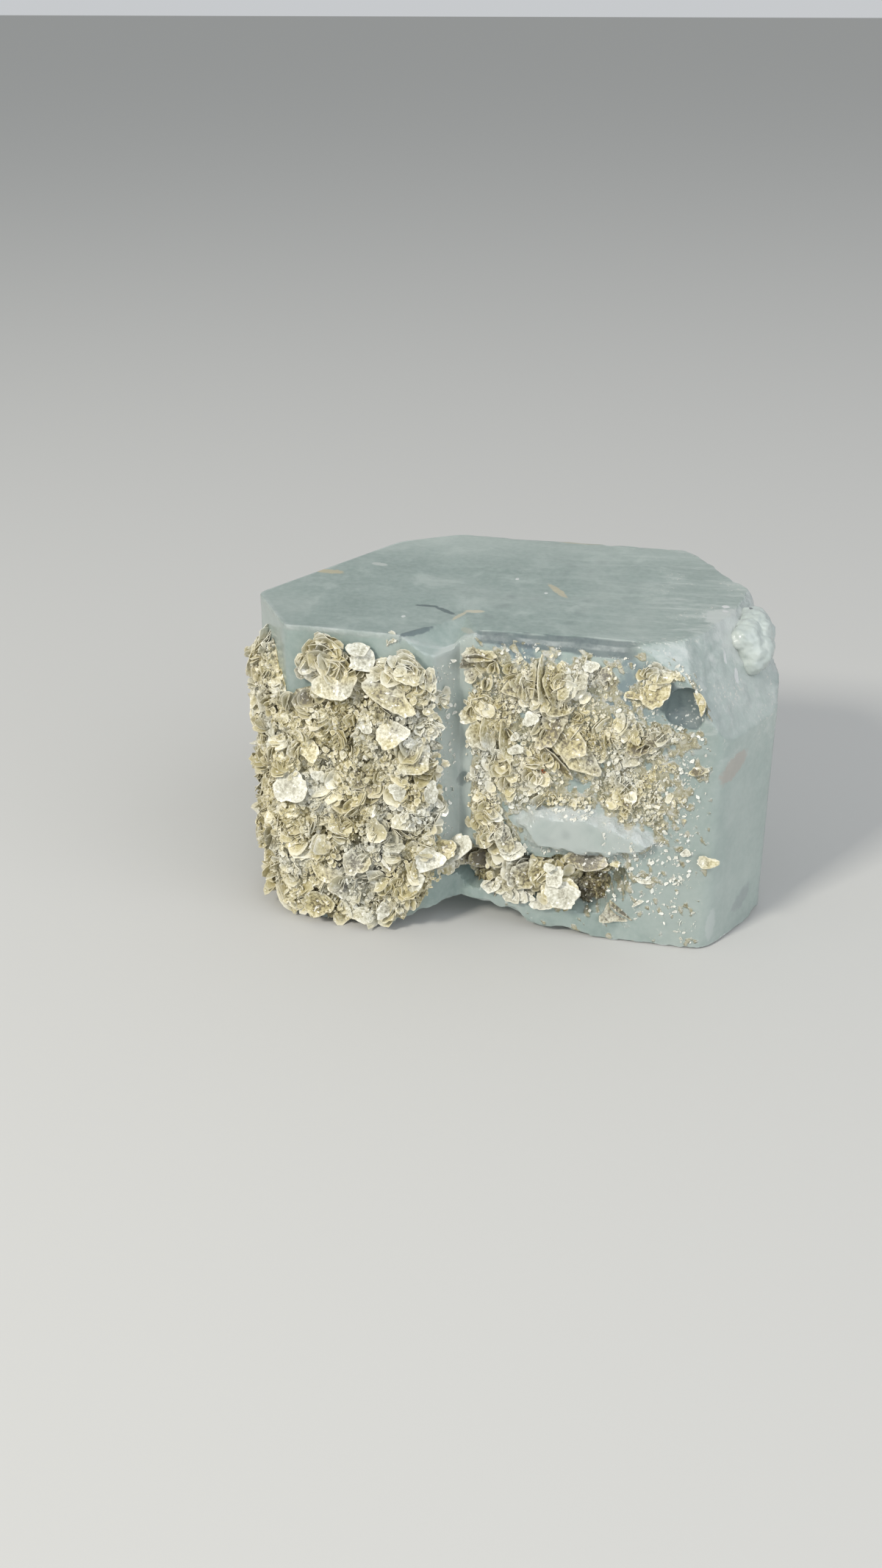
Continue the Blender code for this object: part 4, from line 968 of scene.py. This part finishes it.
RIGHT_PLATES = (
    # This plate faces down and has a very low tone: painted shade
    (21.5, 34.0, 0.7, (0.10, -0.70, -0.60), (1, 0, 0.1), 1.9, 1.6, 0.1, 0.12),
    (21.6, 34.6, 0.8, (0.05, -0.45, 0.90), (1, 0, 0.1), 1.6, 1.8, 0.1, 0.50),
    (20.9, 32.2, 0.3, (-0.10, -0.95, 0.20), (0.3, 0, 1), 1.1, 1.3, 0.1, 0.50),
    (22.6, 25.4, 0.8, (0.80, -0.55, 0.25), (0.15, 0, -1), 1.9, 1.9, 0.3, 0.72),
    (21.6, 25.0, 0.9, (0.35, -0.85, 0.35), (0.5, 0, -1), 1.6, 1.5, 0.2, 0.62),
    (24.6, 24.6, 0.6, (0.85, -0.45, 0.30), (0.1, 0, 1), 1.8, 2.2, 0.25, 0.80),
    (20.9, 27.2, 0.6, (0.10, -0.80, 0.60), (1, 0, 0.4), 1.2, 1.3, 0.2, 0.70),
    (27.6, 27.7, 0.9, (0.00, -0.85, 0.50), (0.6, 0, 1), 1.0, 1.2, 0.1, 1.1),
    (25.8, 25.2, 0.7, (0.10, -0.85, 0.50), (1, 0, 1), 0.55, 1.4, 0.1, 1.1),
    (26.0, 23.6, 0.8, (0.10, -0.75, 0.65), (1, 0, 0.3), 0.85, 1.5, 0.3, 1.1),
    (29.6, 26.6, 0.5, (-0.35, -0.90, 0.35), (0.6, 0, 0.8), 2.4, 1.6, 0.1, 0.42),
    (31.2, 25.6, 0.6, (-0.10, -0.95, 0.25), (0.8, 0, -0.8), 2.6, 1.6, 0.15, 0.46),
    (32.6, 24.0, 0.7, (0.15, -0.92, 0.35), (0.72, 0, -0.75), 2.6, 2.2, 0.1, 0.50),
    (33.8, 23.4, 0.6, (0.55, -0.80, 0.30), (0.5, 0, -0.9), 2.0, 2.6, 0.1, 0.66),
    # This plate faces down and has a very low tone: painted shade
    (30.4, 23.0, 0.6, (-0.60, -0.60, -0.45), (0.80, 0, -0.6), 2.0, 2.6, 0.1, 0.16),
    (28.6, 32.4, 0.8, (0.92, -0.30, 0.10), (0.05, 0, 1), 1.9, 2.6, 0.1, 0.74),
    (27.6, 32.0, 0.5, (-0.80, -0.50, 0.10), (0.25, 0, 1), 1.7, 2.4, 0.2, 0.66),
    (29.6, 31.4, 0.6, (0.75, -0.55, 0.30), (-0.2, 0, 1), 1.6, 2.2, 0.3, 0.60),
    (26.0, 31.0, 0.4, (0.10, -0.92, 0.35), (1, 0, 0.4), 1.6, 1.4, 0.1, 0.52),
    (31.0, 31.6, 0.6, (-0.35, -0.70, 0.60), (0.5, 0, -0.9), 1.5, 1.7, 0.4, 0.74),
    (32.8, 32.6, 0.6, (-0.50, -0.65, 0.55), (0.6, 0, -0.8), 1.6, 1.8, 0.45, 0.80),
    (34.0, 34.2, 0.4, (0.10, -0.75, 0.65), (1, 0, 0.2), 0.9, 1.5, 0.2, 0.86),
    (30.4, 28.6, 0.6, (0.15, -0.60, 0.80), (1, 0, -0.2), 1.3, 2.0, 0.3, 0.70),
    (35.5, 33.6, 0.4, (0.25, -0.85, 0.50), (0.2, 0, 1), 1.0, 1.6, 0.1, 0.40),
    (38.6, 31.2, 0.2, (0.00, -0.80, 0.60), (1, 0, -0.1), 0.8, 2.2, 0.1, 0.50),
    (40.9, 31.7, 0.5, (-0.20, -0.92, 0.30), (0.7, 0, 0.7), 1.9, 1.3, 0.1, 0.62),
    (41.6, 33.6, 0.4, (0.10, -0.80, 0.60), (1, 0, 0.3), 1.2, 1.7, 0.2, 0.70),
    (46.2, 31.0, 0.2, (-0.45, -0.85, 0.30), (0.5, 0, -0.9), 0.9, 2.6, 0.2, 0.66),
    (39.6, 25.2, 0.5, (0.10, -0.75, 0.60), (1, 0, 0.5), 1.5, 1.5, 0.2, 0.34),
    (41.3, 26.1, 0.5, (0.15, -0.70, 0.70), (0.8, 0, 0.5), 1.2, 1.6, 0.2, 0.42),
    (38.4, 18.6, 0.3, (0.10, -0.80, 0.55), (0.5, 0, -0.8), 1.1, 1.7, 0.2, 0.46),
    (46.2, 23.0, 0.3, (0.10, -0.70, 0.70), (1, 0, 0.6), 0.9, 1.9, 0.1, 0.42),
    (48.0, 11.7, 0.4, (0.10, -0.60, 0.75), (1, 0, 0.1), 1.1, 1.7, 0.3, 0.78),
    (45.4, 12.6, 0.2, (0.10, -0.85, 0.50), (1, 0, 0.2), 0.6, 1.3, 0.1, 1.0),
    (23.8, 13.4, 0.6, (-0.35, -0.80, 0.40), (0.15, 0, 1), 1.5, 1.6, 0.2, 0.50),
    (24.9, 12.3, 0.8, (0.40, -0.85, 0.30), (-0.35, 0, 1), 1.6, 1.5, 0.2, 0.58),
    (22.7, 12.0, 0.6, (-0.20, -0.90, 0.30), (0.60, 0, 1), 1.3, 1.4, 0.2, 0.44),
)
RIGHT_TUFTS = (
    (21.6, 28.2, 0.1, 1.6, 24, 0.68), (27.8, 31.0, 0.1, 1.8, 26, 0.62), (31.8, 31.4, 0.1, 1.8, 24, 0.70),
    (24.4, 21.4, 0.1, 1.9, 30, 0.86), (28.2, 20.2, 0.1, 1.8, 30, 0.88), (39.2, 26.0, 0.1, 1.5, 20, 0.60),
    (38.8, 19.4, 0.0, 1.6, 20, 0.62), (22.6, 15.6, 0.1, 1.6, 22, 0.76), (40.6, 33.4, 0.0, 1.4, 18, 0.70),
    (23.6, 12.4, 0.2, 1.7, 26, 0.62),
)


def right_ground(number, least, chance):
    """Random places on the right lobe that right_cover keeps, with the cover and the tone there."""
    run, z = chance.uniform(20.2, 47.5, number), chance.uniform(11.0, 35.0, number)
    cover = right_cover(run, z) * smooth_step(-0.3, 0.4, -polygon_distance(run, z, LEDGE))
    kept = cover > chance.uniform(least, 1, number)
    run, z, cover = run[kept], z[kept], cover[kept]
    silver = np.exp(-(((run - 26.0) / 4.5) ** 2 + ((z - 20.0) / 3.4) ** 2))
    return run, z, cover, 0.56 + 0.24 * silver + 0.10 * ripple(np.column_stack([run, z]), 4.0, 72)


def clumps(run, z, out, radii, heights, chance, seed, painted_shade=0.0, rings=7, sectors=22):
    """Low closed domes with a flaky outer side: radius by ring and turn, height by a root of 1 - share^2."""
    per = (rings + 1) * sectors
    share = (np.arange(rings + 1) / rings)[None, :, None]
    turn = (2 * np.pi * np.arange(sectors) / sectors)[None, None, :]
    wobble = 1 + 0.18 * np.cos(2 * turn + chance.uniform(0, 6.3, (len(run), 1, 1)))
    wobble = wobble + 0.12 * np.cos(3 * turn + chance.uniform(0, 6.3, (len(run), 1, 1)))
    reach = radii[:, None, None] * share * wobble
    runs, tall = run[:, None, None] + reach * np.cos(turn), z[:, None, None] + reach * np.sin(turn)
    ground = np.column_stack([runs.ravel(), tall.ravel()])
    relief, tone = flaky_twice(ground, (1.0, 0.22, 0.30, seed), (0.45, 0.11, 0.35, seed + 5))
    inside = np.broadcast_to(1 - share**4, runs.shape).ravel()
    dome = (heights[:, None, None] * np.sqrt(1 - share**2) + 0 * runs).ravel()
    height = np.repeat(out, per) - 0.08 + dome + inside * np.maximum(-0.5 * dome, relief)
    places, _ = front_place(ground[:, 0], np.maximum(ground[:, 1], 0.1), height)
    bottom = fan_over(np.arange(per - sectors, per))[:, [0, 2, 1]]
    one = np.concatenate([in_halves(tube_faces(rings + 1, sectors)), bottom])
    faces = (one[None] + per * np.arange(len(run))[:, None, None]).reshape(-1, 3)
    # The tone is lowered by painted shade where a clump lies in shade, as in the pocket's lining
    tone = np.clip(0.34 + tone - np.repeat(np.broadcast_to(painted_shade, len(run)), per), 0, 1)
    return places, faces, bed_values(tone)


run, z, cover, tone = right_ground(300, 0.75, chance)
clump_radii = chance.uniform(0.6, 1.5, len(run)) * (0.5 + 0.5 * cover)
right_clumps = clumps(run, z, 0 * run, clump_radii, chance.uniform(0.05, 0.26, len(run)) * cover, chance, 80)
mica_piece("mica_clumps_right", [right_clumps], "mica_crust_right")
run, z, cover, tone = right_ground(360, 0.40, chance)
radii = 0.25 + 0.75 * chance.uniform(0, 1, len(run)) ** 2.0
places, ways = front_place(run, z, 0.02 + 0.18 * cover)
leaf_parts = [books(places, leaning(ways, 20, 72, chance), radii, tone + chance.normal(0.05, 0.15, len(run)),
                    2, chance, sides=13, stretch=1.6, grit=0.3)]
run, z, cover, tone = right_ground(120, 0.55, chance)
places, ways = front_place(run, z, -0.15 + 0.05 * cover)
leaf_parts.append(fans(places, leaning(ways, 0, 45, chance), chance.uniform(0.35, 0.9, len(run)),
                       tone + 0.06, 4, chance, sides=11, grit=0.3))
leaf_parts += [*(tuft(*row, chance) for row in RIGHT_TUFTS), told_apart(RIGHT_PLATES, chance)]
mica_piece("mica_leaves_right", leaf_parts, "mica_crust_right")
run, z, cover, tone = right_ground(15000, 0.02, chance)
radii = 0.06 + 0.26 * chance.uniform(0, 1, len(run)) ** 2.4
places, ways = front_place(run, z, 0.03 + 0.35 * cover * chance.uniform(0.1, 1.2, len(run)))
right_scales = plates(places, leaning(ways, 0, 75, chance), chance.normal(0, 1, ways.shape), radii,
                      tone + chance.normal(0.14, 0.18, len(run)), chance, thickness=0.04, sides=6, **SCALE)
mica_piece("mica_scales_right", [right_scales], "mica_crust_right")

# Loose flakes
# Flakes under a millimetre that stick singly to the bare beryl round the crusts, most of them silver. Their
# near-white tone is partly their own silver and partly painted glints.

FLAKE_FIELDS = (  # left, right, low, high, number
    (15.4, 18.9, 12.0, 33.5, 900), (36.0, 46.5, 8.0, 24.5, 1100), (34.0, 45.0, 3.0, 12.5, 420),
    (21.0, 45.0, 27.0, 35.6, 900), (43.0, 47.2, 20.0, 35.5, 160), (45.0, 47.2, 0.8, 5.4, 60),
    (25.0, 35.5, 16.0, 17.6, 300), (27.0, 41.0, 10.2, 11.6, 180),
)
flake_parts = []
for left, right, low, high, number in FLAKE_FIELDS:
    run, z = chance.uniform(left, right, number), chance.uniform(low, high, number)
    clustered = ripple(np.column_stack([run, z]), 2.2, 77) > chance.uniform(-1.2, 1.2, number)
    clustered &= polygon_distance(run, z, WINDOW) < -0.2
    run, z = run[clustered], z[clustered]
    radii = 0.05 + 0.24 * chance.uniform(0, 1, len(run)) ** 4
    ledge_out = LEDGE_RISE * smooth_step(-0.2, 1.0, polygon_distance(run, z, LEDGE))
    places, ways = front_place(run, z, ledge_out + 0.02 + 0.35 * radii)
    longs = np.array([0.6, 0.0, 0.7]) + chance.normal(0, 0.6, ways.shape)
    flake_parts.append(plates(places, leaning(ways, 0, 75, chance), longs, radii,
                              chance.normal(0.98, 0.08, len(run)), chance, stretch=1.7, grit=0.0, silver=1.0,
                              thickness=0.04, sides=7, **SCALE))
mica_piece("mica_flakes", flake_parts)

# The mica books in the pocket
# Thicker silver books of mica, packed in the hollow under the ledge. Their plates part at the edges, and gaps
# are left at both ends of the hollow. The lining, most of all in the gaps, and the plates in the gaps are
# painted darker: painted shade.

POCKET_PLATES = (
    (25.8, 11.2, 0.6, (0.05, -0.75, 0.65), (1, 0, 0.1), 1.3, 1.5, 0.05, 1.0),
    (25.7, 10.7, 0.7, (0.00, -0.85, 0.50), (1, 0, 0.0), 1.4, 1.5, 0.05, 0.86),
    (30.2, 9.5, 1.2, (0.00, -0.90, 0.40), (1, 0, 0.2), 0.7, 1.2, 0.05, 1.0),
    (30.9, 8.2, 1.1, (-0.15, -0.90, 0.40), (0.4, 0, 1), 1.3, 1.3, 0.1, 0.97),
    (31.9, 6.0, 1.5, (0.10, -0.92, 0.38), (1, 0, -0.1), 1.9, 1.3, -0.05, 0.96),
    (31.6, 6.2, 1.3, (0.12, -0.92, 0.36), (1, 0, -0.2), 2.15, 1.25, -0.05, 0.84),
    (31.4, 6.5, 1.1, (0.15, -0.92, 0.33), (1, 0, -0.1), 2.3, 1.2, -0.05, 0.70),
    (27.3, 7.9, 0.6, (0.25, -0.95, 0.15), (0.1, 0, 1), 1.8, 1.1, 0.05, 0.50),
    (26.3, 8.0, 0.4, (0.35, -0.90, 0.15), (0.1, 0, 1), 1.9, 1.2, 0.05, 0.42),
    (28.8, 8.2, 0.3, (0.45, -0.85, 0.15), (0.1, 0, 1), 1.7, 1.3, 0.05, 0.55),
    (23.2, 5.6, 0.4, (0.05, -0.85, 0.50), (1, 0, 0.2), 1.1, 1.6, 0.05, 1.0),
    (24.6, 5.8, 0.2, (0.15, -0.90, 0.30), (1, 0, 0.2), 1.3, 1.3, 0.1, 0.65),
    # The plates set deepest in the left gap have low tones: painted shade
    (22.0, 8.4, -1.2, (0.20, -0.90, 0.40), (1, 0, 0.4), 1.6, 1.3, 0.1, 0.20),
    (19.8, 8.6, -1.0, (0.30, -0.90, 0.30), (1, 0, 0.8), 1.5, 1.3, 0.1, 0.30),
    (18.6, 7.8, -0.3, (0.35, -0.85, 0.30), (1, 0, 0.6), 1.2, 1.5, 0.1, 0.45),
    (29.2, 4.0, 0.4, (0.00, -0.80, 0.60), (1, 0, -0.1), 1.1, 2.0, 0.05, 0.90),
    (27.0, 4.6, 0.3, (0.00, -0.70, 0.70), (1, 0, -0.1), 1.2, 2.2, 0.05, 0.97),
    (37.8, 3.6, 0.0, (0.30, -0.85, 0.40), (0.8, 0, -0.6), 1.4, 1.5, 0.05, 0.46),
    (38.4, 4.2, 0.2, (0.58, -0.45, 0.66), (0.75, 0, -0.66), 1.0, 3.4, 0.02, 0.36),
    (36.9, 3.0, 0.1, (0.10, -0.90, 0.30), (0.9, 0, 0.2), 0.9, 1.4, 0.05, 0.62),
    (37.6, 10.2, 0.2, (0.10, -0.80, 0.55), (0.9, 0, 0.5), 0.6, 1.6, 0.10, 0.80),
    (41.0, 8.4, 0.1, (0.10, -0.75, 0.60), (1, 0, -0.1), 0.7, 3.0, 0.05, 0.97),
    (40.6, 5.6, 0.1, (0.10, -0.80, 0.50), (0.8, 0, 0.6), 0.6, 3.4, 0.05, 0.97),
    (34.4, 10.3, 0.4, (-0.05, -0.75, 0.60), (1, 0, -0.1), 1.9, 2.4, 0.05, 0.24),
    (35.4, 9.6, 0.5, (0.10, -0.60, 0.75), (1, 0, 0.15), 1.2, 3.2, 0.05, 0.50),
)
POCKET_GAPS = np.array([20.6, 34.6])  # runs of the two gaps, where the painted shade is deepest
LINING_END, BOOKS_END = 36.4, 32.8  # runs at which the lining and the books end on the right


def in_gap(run, half_width):
    """1 for a run nearer than half_width to a gap's middle, else 0."""
    return (np.abs(run[:, None] - POCKET_GAPS).min(axis=1) < half_width).astype(float)


run, z = chance.uniform(17.8, 39.0, 200), chance.uniform(3.4, 10.2, 200)
kept = (polygon_distance(run, z, POCKET) > 0.5) & (run < LINING_END)
run, z = run[kept], z[kept]
dark = in_gap(run, 2.0)
depth = -2.5 + (1 - dark) * chance.uniform(0.2, 1.3, len(run))
# Painted shade: the lining of the hollow is painted darker, most of all in the gaps
lining = clumps(run, z, depth, chance.uniform(0.8, 1.5, len(run)), 0.4 + 0 * run, chance, 90,
                painted_shade=0.22 + 0.6 * dark)
run, z = chance.uniform(17.6, 39.2, 520), chance.uniform(3.2, 10.4, 520)
kept = (polygon_distance(run, z, POCKET) > 0.15) & (run < BOOKS_END)
kept &= np.abs(run - POCKET_GAPS[0]) > chance.uniform(0, 2.2, len(run))
run, z = run[kept], z[kept]
dark = in_gap(run, 2.2)
radii = 0.3 + 0.8 * chance.uniform(0, 1, len(run)) ** 2
places, ways = front_place(run, z, -2.0 + (1 - dark) * chance.uniform(0.6, 2.3, len(run)))
pocket_parts = [
    lining,
    # Plates in the gaps are painted darker too: painted shade
    plates(places, leaning(ways, 5, 70, chance), chance.normal(0, 1, ways.shape), radii,
           chance.normal(0.62, 0.16, len(run)) - 0.35 * dark, chance, sides=12, grit=0.3),
    told_apart(POCKET_PLATES, chance),
]
mica_piece("mica_books_pocket", pocket_parts, "mica_pocket_books")

# The quartz grains
# Milky quartz in a few rounded grains grown into each other on the upper right corner, hazy white and
# a little see-through.

QUARTZ_HEART = np.array([50.9, 13.0, 34.1])
QUARTZ_GRAINS = (
    ((50.9, 15.6, 34.9), 1.7), ((51.4, 13.4, 34.6), 1.9), ((51.8, 10.8, 33.1), 1.7),
    ((50.1, 11.0, 34.9), 1.7), ((52.0, 13.6, 32.2), 1.6), ((52.2, 16.0, 33.3), 1.4),
    ((51.2, 9.6, 31.8), 1.1), ((49.6, 9.8, 34.8), 0.9),
    # Quartz that fills the gaps between those
    ((51.2, 12.0, 33.7), 1.9), ((51.2, 10.2, 32.4), 1.7), ((50.1, 10.2, 34.4), 1.6),
    ((51.6, 14.8, 33.5), 1.9), ((51.5, 12.2, 32.4), 1.7), ((50.7, 14.5, 34.9), 1.8),
)


def grown_together(rows=90, columns=120, soft=0.9):
    """Grains as one lump: from QUARTZ_HEART, each ray ends where it leaves the farthest grain.

    The ends are blended softly: the log of the sum of exponentials of the single ends over soft.
    """
    down, round_it = np.meshgrid(np.linspace(0.01, np.pi - 0.01, rows),
                                 np.linspace(0, 2 * np.pi, columns, endpoint=False), indexing="ij")
    way = np.stack([np.sin(down) * np.cos(round_it), np.sin(down) * np.sin(round_it), np.cos(down)], -1)
    way = way.reshape(-1, 3)
    ends = []
    for centre, radius in QUARTZ_GRAINS:
        offset = np.array(centre) - QUARTZ_HEART
        along = way @ offset
        within = radius**2 - offset @ offset + along**2
        ends.append(along + np.sqrt(np.maximum(within, 0)) - 2.5 * np.sqrt(np.maximum(-within, 0)))
    reach = soft * np.log(np.exp(np.array(ends) / soft).sum(axis=0) + np.exp(2.2 / soft))
    points = QUARTZ_HEART + way * (reach - 0.75)[:, None]
    points += way * (0.09 * ripple(points, 1.6, 51) + 0.04 * ripple(points, 0.7, 52, 24))[:, None]
    turn = np.arange(columns)
    return points, np.concatenate([
        in_halves(tube_faces(rows, columns)), fan_over(turn), fan_over(rows * columns - 1 - turn)])


def milky_quartz():
    """Vein quartz, weathered: hazy white with a soft gloss, a little light passing through its rims."""
    material, tree, place = new_finish("quartz_milky")
    colour = ramp(tree, noise(tree, place, 2.2), (0.3, "#b2bcb7"), (0.5, "#bac4be"), (0.7, "#c2c9c3"))
    ragged = noise(tree, place, 0.5, 3.0, 0.5)
    speck = ragged_mark(tree, place, ragged, (50.5, 15.0, 36.6), (50.8, 15.0, 36.6), 0.32, 1.5)
    colour = layered(tree, colour, (speck, "#4a5052"))
    set_surface(tree, noise(tree, place, 0.7), 0.3, 0.0002, Base_Color=colour, Transmission_Weight=0.2,
                IOR=1.544, Roughness=0.35, Coat_Weight=0.4)
    return material


quartz = mesh_piece("quartz_lumps", *grown_together(), sharp=60.0)
quartz.data.materials.append(milky_quartz())
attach(quartz, "root")
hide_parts("quartz_grains")

# The floor, the light and the camera
# A plain pale floor. A lamp on the left in front gives the crisp shadows of the mica, and a large panel on
# the right and a pale sky fill them. The camera stands about three crystal widths away and looks down.

FLOOR_REACH = 6.0  # metres from the middle to each side
floor_mesh = bpy.data.meshes.new("floor")
floor_corners = [(x * FLOOR_REACH, y * FLOOR_REACH, 0) for x, y in ((-1, -1), (1, -1), (1, 1), (-1, 1))]
floor_mesh.from_pydata(floor_corners, [], [(0, 1, 2, 3)])
floor = bpy.data.objects.new("floor", floor_mesh)
bpy.context.scene.collection.objects.link(floor)
floor_finish = bpy.data.materials.new("floor_paper")
floor_finish.use_nodes = True
set_inputs(floor_finish.node_tree, floor_finish.node_tree.nodes["Principled BSDF"],
           Base_Color=linear("#bdbdba"), Roughness=0.9, Specular_IOR_Level=0.0)
floor_mesh.materials.append(floor_finish)


def area_lamp(name, place, aim, size, power, colour):
    """A square lamp at a place, turned to an aim; metres and watts."""
    data = bpy.data.lights.new(name, "AREA")
    data.size, data.energy, data.color = size, power, linear(colour)[:3]
    lamp = bpy.data.objects.new(name, data)
    bpy.context.scene.collection.objects.link(lamp)
    lamp.location = place
    lamp.rotation_mode = "QUATERNION"
    lamp.rotation_quaternion = (Vector(aim) - Vector(place)).to_track_quat("-Z", "Y")


area_lamp("key", (-0.31, -0.46, 0.42), (0, 0, 0.015), 0.11, 3.5, "#fffaf1")
area_lamp("fill", (0.50, -0.46, 0.44), (0, 0, 0.02), 0.95, 4.3, "#f4f7ff")

world = bpy.data.worlds.new("studio")
bpy.context.scene.world = world
world.use_nodes = True
set_inputs(world.node_tree, world.node_tree.nodes["Background"], Color=linear("#e8ebee"), Strength=0.71)

CAMERA_PLACE = (45.49, -161.86, 100.02)  # fitted to the prism's corners, as are the angles and the lens
LENS = 37.13
AZIMUTH, ELEVATION = np.radians(9.8), np.radians(26.3)
camera = bpy.data.objects.new("camera", bpy.data.cameras.new("camera"))
bpy.context.scene.collection.objects.link(camera)
camera.location = to_frame(CAMERA_PLACE)
camera.rotation_euler = (np.pi / 2 - ELEVATION, 0, AZIMUTH)
camera.data.lens = LENS
camera.data.clip_start = 0.01
bpy.context.scene.camera = camera
bpy.context.scene.view_settings.view_transform = "Standard"
